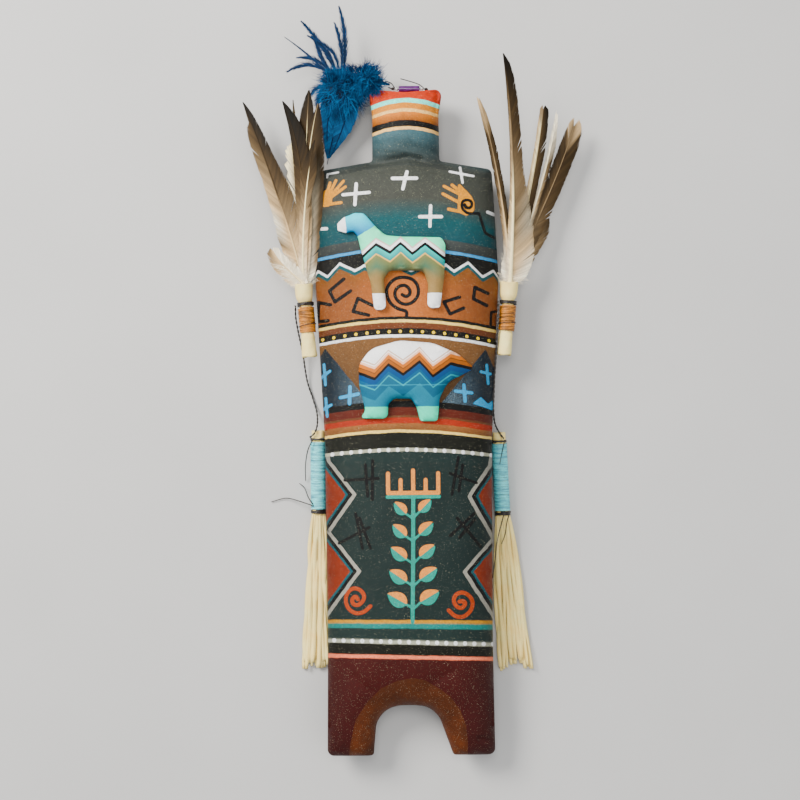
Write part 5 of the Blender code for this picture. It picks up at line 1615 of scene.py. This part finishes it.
def make_bundle(side):
    turn, place = bundle_place(side)
    seed = 20 if side == "left" else 40

    def put(pile):
        pile.points = [turned(p, turn, place) for p in pile.points]
        return pile

    stations = np.array([
        (0.0, SLEEVE_FOOT_RADIUS), (0.7, SLEEVE_FOOT_RADIUS + 0.3), (5.0, SLEEVE_FOOT_RADIUS + 0.1),
        (10.0, SLEEVE_FOOT_RADIUS), (14.0, SLEEVE_FOOT_RADIUS - 0.1), (16.2, SLEEVE_RADIUS + 0.1),
        (17.5, SLEEVE_RADIUS), (25.0, SLEEVE_RADIUS), (33.0, SLEEVE_RADIUS), (37.4, SLEEVE_RADIUS),
        (38.6, SLEEVE_MOUTH_RADIUS - 1.2), (40.5, SLEEVE_MOUTH_RADIUS - 0.5),
        (44.0, SLEEVE_MOUTH_RADIUS - 0.2), (48.8, SLEEVE_MOUTH_RADIUS), (49.5, SLEEVE_MOUTH_RADIUS + 0.1),
    ])
    levels = np.unique(np.concatenate([stations[:, 0], np.arange(1, 49, 1.5)]))
    fine = list(zip(levels, np.interp(levels, *stations.T)))
    sleeve = put(roll_pile(fine, SLEEVE_LEATHER, SLEEVE_TURNS, SLEEVE_START[side], seed))
    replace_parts(sleeve.make(f"rolled_sleeve_{side}", LEATHER, "leather"), f"sleeve_{side}")

    wrap = Pile()
    winding(wrap, WRAP_FROM + 0.3, WRAP_TO - 0.3, SLEEVE_RADIUS + 0.15, 0.92, seed + 1)
    made = put(wrap).make(f"brown_winding_{side}", BROWN_THREAD, "brown_thread")
    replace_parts(made, f"sleeve_wrap_{side}")

    tie = Pile()
    loop_round(tie, WRAP_TO + 2.0, SLEEVE_RADIUS + 0.2, 0.95, 3.2, seed + 2)
    knot(tie, (0.6, WRAP_TO + 2.0, SLEEVE_RADIUS + 1.0), 1.1)
    angle = np.linspace(0, 2 * np.pi, 30)
    wide = SLEEVE_RADIUS + 1.25
    ring = np.stack([wide * np.cos(angle), 21.6 + 0.8 * np.sin(angle + 1.0), wide * np.sin(angle)], 1)
    tie.tube(ring, 0.28, sides=6)
    made = put(tie).make(f"black_tie_{side}", BLACK_THREAD, "black_thread")
    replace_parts(made, f"sleeve_tie_{side}")

    for number, (sizes, profiles, look) in enumerate(zip(FEATHERS[side], VANES[side], LOOKS[side])):
        pile = Pile()
        make_feather(pile, side, number, sizes, profiles, look)
        if number == MOUTH_DOWN_AT[side]:
            mouth_down(pile, side, np.random.default_rng(seed + 5))
        made = pile.make(f"quill_{side}_{number + 1}", FEATHER_FINISH, "feather")
        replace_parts(made, f"feather_{side}_{number + 1}")


for side in SIDES_OUT:
    make_bundle(side)


# Tassels: rolled leather, light blue winding, black ties and a cut fringe

TASSEL_TOP = {"left": 222.5, "right": 220.0}
TASSEL_TUCK = 1.0
TASSEL_LEAN = {"left": 0.0, "right": 2.4}
TASSEL_RADIUS = 4.6
STUB_LENGTH = 5.2
TASSEL_WRAP_LENGTH = 47.0
FRINGE_LENGTH = 108.0
FRINGE_SPREAD = {"left": 18.5, "right": 23.5}
FRINGE_DRIFT = {"left": 3.0, "right": 4.0}
TASSEL_LEATHER = 0.9
TASSEL_TURNS = 2.1
STRIP_COUNT = 24
STRIP_POINTS = 34
STRIP_THICK = 0.38
STRIP_FLOOR = 0.5
FLOOR_CLEAR = 0.1


def make_tassel(side):
    out = SIDES_OUT[side]
    outer = TASSEL_RADIUS + 1.6
    away = side_of_body(TASSEL_TOP[side]) + outer - TASSEL_TUCK
    turn = out * math.radians(TASSEL_LEAN[side])
    place = (out * away, TASSEL_TOP[side], 0.0)
    seed = 60 if side == "left" else 80
    gen = np.random.default_rng(seed)

    def put(pile, lift=0.0):
        """Moves a pile to the tassel's place, with nothing below the floor."""
        pile.points = [turned(p + np.array((0, 0, lift)), turn, place) for p in pile.points]
        for points in pile.points:
            points[:, 2] = np.maximum(points[:, 2], FLOOR_CLEAR)
        return pile

    wrap_from = -STUB_LENGTH - TIE_WIDTH / 2 - 0.6
    wrap_to = wrap_from - TASSEL_WRAP_LENGTH
    core_end = wrap_to - TIE_WIDTH - 0.9
    levels = np.concatenate([[0.0, -0.6], np.arange(-2, core_end + 1, -2.5), [core_end]])[::-1]
    radii = [TASSEL_RADIUS + (0.25 if y > -STUB_LENGTH else 0.0) for y in levels]
    pile = roll_pile(list(zip(levels, radii)), TASSEL_LEATHER, TASSEL_TURNS, 0.6, seed + 1)
    pile.points = [p + np.array((0, 0, outer)) for p in pile.points]
    for k in range(STRIP_COUNT):
        row = k % 3
        share = (k + 0.5) / STRIP_COUNT - 0.5
        wide = gen.uniform(2.2, 3.6)
        length = FRINGE_LENGTH * (1 - gen.uniform(0.0, 0.085))
        t = np.linspace(0, 1, STRIP_POINTS)
        open_share = t**0.62
        near = share * TASSEL_RADIUS * 1.7
        far = share * (FRINGE_SPREAD[side] - 1.5) + gen.normal(0, 0.6)
        x = near + (far - near) * open_share + out * FRINGE_DRIFT[side] * t
        wave = gen.uniform(0.4, 1.3) * np.sin(t * gen.uniform(4, 9) + gen.uniform(0, 6))
        x = x + wave * np.minimum(1, t * 4)
        y = core_end + 3.0 - t * (length + 3.0)
        top = outer + (row - 1) * 1.9 + 1.2 * math.cos(share * math.pi)
        rest = STRIP_FLOOR + 0.5 + 1.15 * row + gen.uniform(0, 0.5)
        fall = np.clip(t / 0.34, 0, 1)
        fall = fall * fall * (3 - 2 * fall)
        ripple = 0.5 * np.sin(t * gen.uniform(8, 18) + gen.uniform(0, 6))
        z = top + (rest - top) * fall + ripple * np.minimum(1, t * 5)
        z = np.maximum(z, STRIP_FLOOR + 0.3)
        line = np.stack([x, y, z], 1)
        width = wide * (0.45 + 0.55 * fall) * (1 + 0.12 * np.sin(t * gen.uniform(9, 21)))
        width[-3:] *= (1.0, 0.92, 0.8)
        twist = gen.normal(0, 0.2) + gen.normal(0, 0.35) * t
        twist = twist + gen.uniform(0.15, 0.5) * np.sin(t * 8 + gen.uniform(0, 6))
        side_dir = np.stack([np.cos(twist), 0 * t, np.sin(twist)], 1)
        up = np.stack([-np.sin(twist), 0 * t, np.cos(twist)], 1)
        half = side_dir * width[:, None] / 2
        edge = up * STRIP_THICK * 0.4
        pile.closed(np.stack([
            line - half - edge, line - up * STRIP_THICK, line + half - edge,
            line + half + edge, line + up * STRIP_THICK * 1.1, line - half + edge,
        ], 1))
    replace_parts(put(pile).make(f"fringed_tassel_{side}", LEATHER, "leather"), f"tassel_{side}")

    wrap = Pile()
    winding(wrap, wrap_to + 0.3, wrap_from - 0.3, TASSEL_RADIUS + 0.12, 0.80, seed + 2)
    made = put(wrap, outer).make(f"blue_winding_{side}", BLUE_THREAD, "blue_thread")
    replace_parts(made, f"tassel_wrap_{side}")

    upper = Pile()
    loop_round(upper, -STUB_LENGTH - 0.8, TASSEL_RADIUS + 0.1, 0.8, 2.1, 63)
    knot(upper, (-out * 2.6, -STUB_LENGTH - 0.8, TASSEL_RADIUS - 0.6), 1.0)
    put(upper, outer)
    lower = Pile()
    loop_round(lower, wrap_to - 1.7, TASSEL_RADIUS + 0.1, 0.85, 3.4, 64)
    knot(lower, (0.4, wrap_to - 1.6, TASSEL_RADIUS + 0.6), 1.0)
    put(lower, outer)
    for k, tail in enumerate(TAILS[side]):
        target = upper if k < UPPER_TAILS[side] else lower
        target.tube(smooth_line(tail, 26), np.linspace(0.42, 0.3, 26), sides=6)
    for tie, name in ((upper, "upper"), (lower, "lower")):
        made = tie.make(f"{name}_tie_{side}", BLACK_THREAD, "black_thread")
        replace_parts(made, f"tassel_tie_{name}_{side}")


for side in SIDES_OUT:
    make_tassel(side)


# Dyed feather tuft

TUBE_BEAD_RADIUS = 2.1
TUBE_BEAD_LENGTH = 14.4
TUBE_BEAD_START = -4.5
SEED_BEAD_RADIUS = 1.5
SEED_BEAD_LENGTH = 2.2
BEAD_BORE = 0.8
BEAD_GAP = 0.3
BEAD_AT = (HEAD_TOP + TUBE_BEAD_RADIUS, SEAM + 2.5)
TUFT_ROOT = np.array((TUBE_BEAD_START - SEED_BEAD_LENGTH - 3.8, BEAD_AT[0] + 3.0, BEAD_AT[1]))

TUFT_FLOOR = 0.8
TUFT_TOP = 47.0
NAVY = (4, 12, 24)
BLUE = (4, 32, 64)
BRIGHT = (4, 60, 116)
CYAN = (8, 108, 166)
DEEP = (4, 22, 44)
SLATE = (14, 58, 104)

# Hackles: root, tip and bow from the tuft's root, barb length, and share of the shaft with barbs
HACKLES = (
    ((-33.0, 4.0, -2.0), (-34.3, 54.5, -1.0), 3.4, 7.0, 0.88),
    ((-34.0, 4.0, -1.0), (-37.5, 43.0, 0.0), 3.0, 5.8, 0.8),
    ((-35.0, 4.0, -4.0), (-51.7, 37.2, -4.0), -3.0, 5.6, 0.8),
    ((-35.0, 4.0, -3.0), (-60.3, 44.2, 0.0), 2.6, 6.4, 0.85),
    ((-36.0, 4.0, -3.0), (-56.0, 34.0, 1.0), 5.0, 5.6, 0.8),
    ((-36.0, 4.0, -2.0), (-49.0, 30.0, 1.0), 6.0, 5.4, 0.8),
    ((-36.0, 2.0, -5.0), (-72.3, 35.0, -6.0), 1.6, 2.6, 0.9),
    ((-36.0, 2.0, -4.0), (-70.8, 10.0, -3.0), 8.5, 6.8, 0.92),
    ((-37.0, 3.0, -5.0), (-64.0, 20.0, -4.0), 6.0, 5.6, 0.8),
    ((-40.0, 1.0, -6.0), (-54.0, -5.0, -7.0), 3.0, 6.5, 0.8),
    ((-41.0, 0.0, -6.0), (-50.0, -14.0, -7.0), 3.0, 6.0, 0.8),
    ((-44.0, -8.0, -8.0), (-57.5, -20.5, -8.0), -2.0, 5.5, 0.8),
    ((-43.0, -12.0, -8.0), (-53.0, -30.5, -8.0), -2.0, 4.5, 0.8),
)


def along_shaft(line, root):
    """Places at shares of a shaft's length, and the ways along it and across it on the level."""
    t = np.linspace(0, 1, len(line))
    ahead = np.gradient(line, axis=0)
    ahead /= np.linalg.norm(ahead, axis=1)[:, None]
    base = np.stack([np.interp(root, t, line[:, k]) for k in range(3)], 1)
    along = np.stack([np.interp(root, t, ahead[:, k]) for k in range(3)], 1)
    across = np.cross(along, (0, 0, 1))
    across /= np.linalg.norm(across, axis=1)[:, None]
    return base[:, None, :], along[:, None, :], across[:, None, :]


def make_hackle(pile, start, end, bow, reach, barbed, gen):
    """A narrow feather with a shaft and separate soft barbs that sweep towards its tip."""
    length = np.linalg.norm(end - start)
    aside = np.cross(end - start, (0, 0, 1))
    aside /= np.linalg.norm(aside)
    t = np.linspace(0, 1, 40)
    line = start + np.outer(t, end - start) + np.outer(4 * t * (1 - t), aside) * bow
    dark, light = linear(DEEP), linear(SLATE)
    pile.tube(line, np.linspace(0.6, 0.16, 40), np.tile(dark, (40, 1)), sides=5)
    count = int(length * 4.0)
    root = 1 - barbed + barbed * np.linspace(0, 0.97, count)
    base, along, across = along_shaft(line, root)
    swell = np.sin(np.pi * np.clip((root - 1 + barbed) / barbed, 0, 1) ** 0.7)
    q = np.linspace(0, 1, 6)
    for direction in (-1, 1):
        size = 0.9 * reach * (0.25 + 0.95 * swell) * gen.uniform(0.7, 1.1, count)
        spread = gen.uniform(0.06, 0.42, count) * direction
        path = (
            base
            + (size * np.cos(spread))[:, None, None] * q[None, :, None] ** 1.1 * along
            + (size * np.sin(spread))[:, None, None] * q[None, :, None] * across
        )
        path[:, :, 2] += gen.normal(0, 0.5, count)[:, None] * q[None, :]
        half = 0.24 * (1 - 0.85 * q)[None, :, None] * across
        share = gen.beta(1.2, 2.0, count)[:, None, None]
        tint = np.tile(dark * (1 - share) + light * share, (1, 6, 1))
        pile.ribbons(path - half, path + half, tint)


def fluff(pile, gen, centre, radii, count, flow, reach, light):
    """Soft strands in clumps all over an ellipsoid, combed towards flow."""
    centre, radii, flow = (np.asarray(p, dtype=float) for p in (centre, radii, flow))
    clumps = max(1, count // 14)
    lead = gen.normal(0, 1, (clumps, 3))
    pick = gen.integers(0, clumps, count)
    way = lead[pick] / np.linalg.norm(lead[pick], axis=1)[:, None] + gen.normal(0, 0.16, (count, 3))
    way /= np.linalg.norm(way, axis=1)[:, None]
    way[:, 2] = np.where(way[:, 2] < -0.25, -way[:, 2], way[:, 2])
    base = centre + radii * way * gen.uniform(0.35, 0.85, count)[:, None]
    bent = gen.normal(0, 0.45, (clumps, 3))[pick] + gen.normal(0, 0.12, (count, 3))
    heading = way * 0.6 + flow + bent
    heading /= np.linalg.norm(heading, axis=1)[:, None]
    curl = gen.normal(0, 0.3, (clumps, 3))[pick] + gen.normal(0, 0.10, (count, 3))
    size = (reach * gen.uniform(0.55, 1.2, clumps)[pick] * gen.uniform(0.7, 1.1, count))[:, None, None]
    q = np.linspace(0, 1, 7)[None, :, None]
    path = base[:, None, :] + size * (q * heading[:, None, :] + q**2 * curl[:, None, :])
    path[:, :, 2] = np.clip(path[:, :, 2], TUFT_FLOOR, TUFT_TOP)
    across = np.cross(heading, (0.05, 0.02, 1.0))
    across /= np.linalg.norm(across, axis=1)[:, None]
    half = gen.uniform(0.14, 0.30, count)[:, None, None] * (1 - 0.85 * q) * across[:, None, :]
    # Strands run from blue to a lighter colour, the lighter ones lighter still towards their tips: partly
    # the dye's own range and partly painted highlight.
    share = np.clip(gen.beta(1.1, 3.0, clumps)[pick] + gen.normal(0, 0.10, count), 0, 1)[:, None, None]
    share = np.clip(share + 0.30 * q * (share > 0.3), 0, 1)
    tint = linear(BLUE) * (1 - share) + linear(light) * share
    pile.ribbons(path - half, path + half, tint)


def tuft_core(pile, centre, radii, colour):
    """A dark closed shape under the strands, in painted shade: its navy stands for the shade deep among
    them.
    """
    centre, radii = np.asarray(centre, dtype=float), np.asarray(radii, dtype=float)
    rows = []
    for tilt in np.linspace(-0.49 * np.pi, 0.49 * np.pi, 12):
        angle = np.linspace(0, 2 * np.pi, 18, endpoint=False)
        ring = np.stack([np.cos(angle) * math.cos(tilt), np.full(18, math.sin(tilt)),
                         np.sin(angle) * math.cos(tilt)], 1)
        rows.append(centre + radii * ring)
    pile.grid(rows, np.tile(linear(colour), (12, 1)), wrap=True)


# Broad drooping plumes: points on the shaft from the tuft's root, and widest half width
PLUMES = (
    (((-26.0, -6.0, -5.0), (-33.0, -16.0, -6.5), (-39.0, -32.0, -8.5), (-43.8, -52.5, -9.5)), 11.0),
    (((-24.0, -8.0, -2.0), (-29.0, -18.0, -4.0), (-34.0, -31.0, -7.0), (-41.0, -47.5, -8.5)), 7.5),
    (((-32.0, -6.0, -3.0), (-39.0, -14.0, -4.0), (-43.0, -24.0, -7.0), (-43.5, -36.5, -8.5)), 7.0),
)


def make_plume(pile, route, width, gen):
    """A broad dyed feather whose barbs lie close along its shaft."""
    line = smooth_line(TUFT_ROOT + np.array(route), 60)
    pile.tube(line, np.linspace(0.7, 0.2, 60), np.tile(linear(BLUE), (60, 1)), sides=6)
    count = 260
    root = np.linspace(0.0, 0.9, count)
    base, along, across = along_shaft(line, root)
    q = np.linspace(0, 1, 7)
    for direction in (-1, 1):
        reach = width * np.interp(root, (0, 0.12, 0.35, 0.75, 0.9), (0.75, 1.0, 0.85, 0.32, 0.08))
        reach = reach * (1 + 0.03 * np.interp(root, np.linspace(0, 1, 22), gen.normal(0, 1, 22)))
        split = 0.4 * np.interp(root, np.linspace(0, 1, 16), gen.normal(0, 1, 16))
        path = (
            base
            + reach[:, None, None] * q[None, :, None] * across * direction
            + (reach * 1.05 + split)[:, None, None] * q[None, :, None] ** 1.2 * along
        )
        path[:, :, 2] -= 1.6 * (reach[:, None] * q[None, :] / 12) ** 2
        path[:, :, 2] += gen.normal(0, 0.16, count)[:, None] * q[None, :]
        half = np.interp(q, (0, 0.9, 1), (0.42, 0.34, 0.10))[None, :, None] * along
        # Bands along the plume mix blue with cyan: partly the dye's own streaks and partly painted
        # highlight.
        band = np.interp(root, np.linspace(0, 1, 34), gen.beta(0.8, 1.6, 34))
        share = np.clip(0.25 + 0.5 * band + gen.normal(0, 0.08, count), 0, 1)[:, None, None]
        tint = np.tile(linear(BLUE) * (1 - share) + linear(CYAN) * share, (1, 7, 1))
        pile.ribbons(path - half, path + half, tint)


def make_tuft():
    gen = np.random.default_rng(5)
    pile = Pile()
    main = TUFT_ROOT + (-34.0, -5.0, -6.0)
    second = TUFT_ROOT + (-14.0, 1.5, 0.0)
    # The two navy cores are painted shade inside the fluff.
    tuft_core(pile, main, (14.5, 13.5, 8.5), NAVY)
    tuft_core(pile, second + (-2.0, 4.0, -3.0), (9.0, 5.0, 5.0), NAVY)
    stem = smooth_line(TUFT_ROOT + np.array(((0.0, 0.0, 0.0), (-6.0, 2.0, -1.0), (-16.0, 6.0, -3.0))), 12)
    pile.tube(stem, np.linspace(0.8, 2.2, 12), np.tile(linear(BLUE), (12, 1)))
    for route, width in PLUMES:
        make_plume(pile, route, width, gen)
    # Centre, radii, strand count, flow, reach and light colour of each patch of strands
    patches = (
        (main, (17.0, 16.0, 10.0), 3200, (-0.10, -0.75, 0.05), 9.5, CYAN),
        (main + (-3.0, 10.0, 3.0), (11.0, 8.0, 6.0), 1000, (-0.5, 0.3, 0.1), 6.0, CYAN),
        (second, (11.0, 10.0, 8.0), 1700, (0.12, -0.25, 0.25), 7.0, CYAN),
        (second + (-6.0, 8.0, -2.0), (16.0, 5.0, 6.0), 700, (0.1, 0.9, 0.1), 6.0, BRIGHT),
        (main + (10.0, 4.0, 5.0), (12.0, 10.0, 6.0), 900, (-0.1, -0.5, 0.3), 7.5, CYAN),
    )
    for patch in patches:
        fluff(pile, gen, *patch)
    for start, end, *sizes in HACKLES:
        make_hackle(pile, TUFT_ROOT + start, TUFT_ROOT + end, *sizes, gen)
    kit = Finish("blue_feather")
    tint = kit.colours("tint")
    fine = kit.noise(1500.0, 2.0)
    tone = kit.rescale(fine, 0.25, 0.75, 0.75, 1.25)
    colour = kit.shaded(tint, tone)
    made = pile.make("dyed_tuft", kit.finish(colour, 0.6, Specular_IOR_Level=0.10), "blue_feather")
    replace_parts(made, "blue_feather_tuft")


make_tuft()


# Beads

def bead_pile(start, length, radius, bevel):
    """A bead turned about x, with its bore."""
    pile = Pile()
    sides = 36
    steps = [(0.0, BEAD_BORE), (0.0, radius - bevel)]
    steps += [
        (bevel * (1 - math.cos(a)), radius - bevel + bevel * math.sin(a))
        for a in np.linspace(0, np.pi / 2, 6)[1:]
    ]
    steps += [(length - x, r) for x, r in steps[::-1]]
    angle = np.linspace(0, 2 * np.pi, sides, endpoint=False)
    y, z = BEAD_AT
    rows = [
        np.stack([np.full(sides, start + x), y + r * np.cos(angle), z + r * np.sin(angle)], 1)
        for x, r in steps
    ]
    rows.append(rows[0])
    pile.grid(rows, wrap=True)
    return pile


def make_beads():
    kit = Finish("purple_stone")
    swirl = kit.noise(260.0, 4.0, 0.65, kit.stretched((1.0, 5.0, 5.0)))
    colour = kit.ramp(swirl, [
        (0.0, 0.42, srgb(25, 4, 31), srgb(50, 4, 60)), (0.42, 0.58, srgb(50, 4, 60), srgb(87, 18, 103)),
        (0.58, 1.0, srgb(87, 18, 103), srgb(141, 68, 163)),
    ])
    purple = kit.finish(colour, 0.28, Specular_IOR_Level=0.6)
    tube = bead_pile(TUBE_BEAD_START, TUBE_BEAD_LENGTH, TUBE_BEAD_RADIUS, 0.5)
    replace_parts(tube.make("banded_tube_bead", purple, "purple_stone"), "tube_bead")
    kit = Finish("clear_glass")
    glass = kit.finish(srgb(243, 243, 243), 0.06, IOR=1.5, Transmission_Weight=0.75)
    for name, start in (
        ("seed_bead_left", TUBE_BEAD_START - BEAD_GAP - SEED_BEAD_LENGTH),
        ("seed_bead_right", TUBE_BEAD_START + TUBE_BEAD_LENGTH + BEAD_GAP),
    ):
        bead = bead_pile(start, SEED_BEAD_LENGTH, SEED_BEAD_RADIUS, 0.7)
        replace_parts(bead.make(f"glass_{name}", glass, "clear_glass"), name)
    y, z = BEAD_AT
    first = TUBE_BEAD_START - SEED_BEAD_LENGTH
    last = TUBE_BEAD_START + TUBE_BEAD_LENGTH + SEED_BEAD_LENGTH
    pile = Pile()
    through = (
        (first - 5.0, y + 1.4, z), (first - 1.0, y, z), (2.7, y, z), (last + 1.0, y, z),
        (last + 3.6, y - 0.6, z),
    )
    pile.tube(smooth_line(through, 40), 0.42, sides=7)
    loops = (
        ((first - 4.0, y + 2.6, z - 0.6), (first - 7.0, y + 5.2, z + 0.6),
         (first - 3.0, y + 3.8, z + 1.4), (first - 0.5, y + 0.6, z + 1.0)),
        ((last + 0.6, y + 0.4, z + 0.8), (last - 3.0, y + 2.8, z + 1.6),
         (last - 9.0, y + 5.0, z + 1.2), (last - 15.2, y + 7.0, z + 0.2)),
        ((last + 3.2, y - 0.6, z), (last + 1.5, y - 1.8, z + 0.8),
         (last - 1.0, y - 2.2, z + 1.4), (last - 2.6, y - 2.4, z + 1.0)),
    )
    for loop in loops:
        pile.tube(smooth_line(loop, 24), 0.36, sides=6)
    knot(pile, (last + 2.2, y - 0.3, z + 0.2), 0.9)
    knot(pile, (first - 1.6, y + 0.2, z + 0.2), 0.9)
    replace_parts(pile.make("bead_thread_loops", BLACK_THREAD, "black_thread"), "bead_thread")


make_beads()
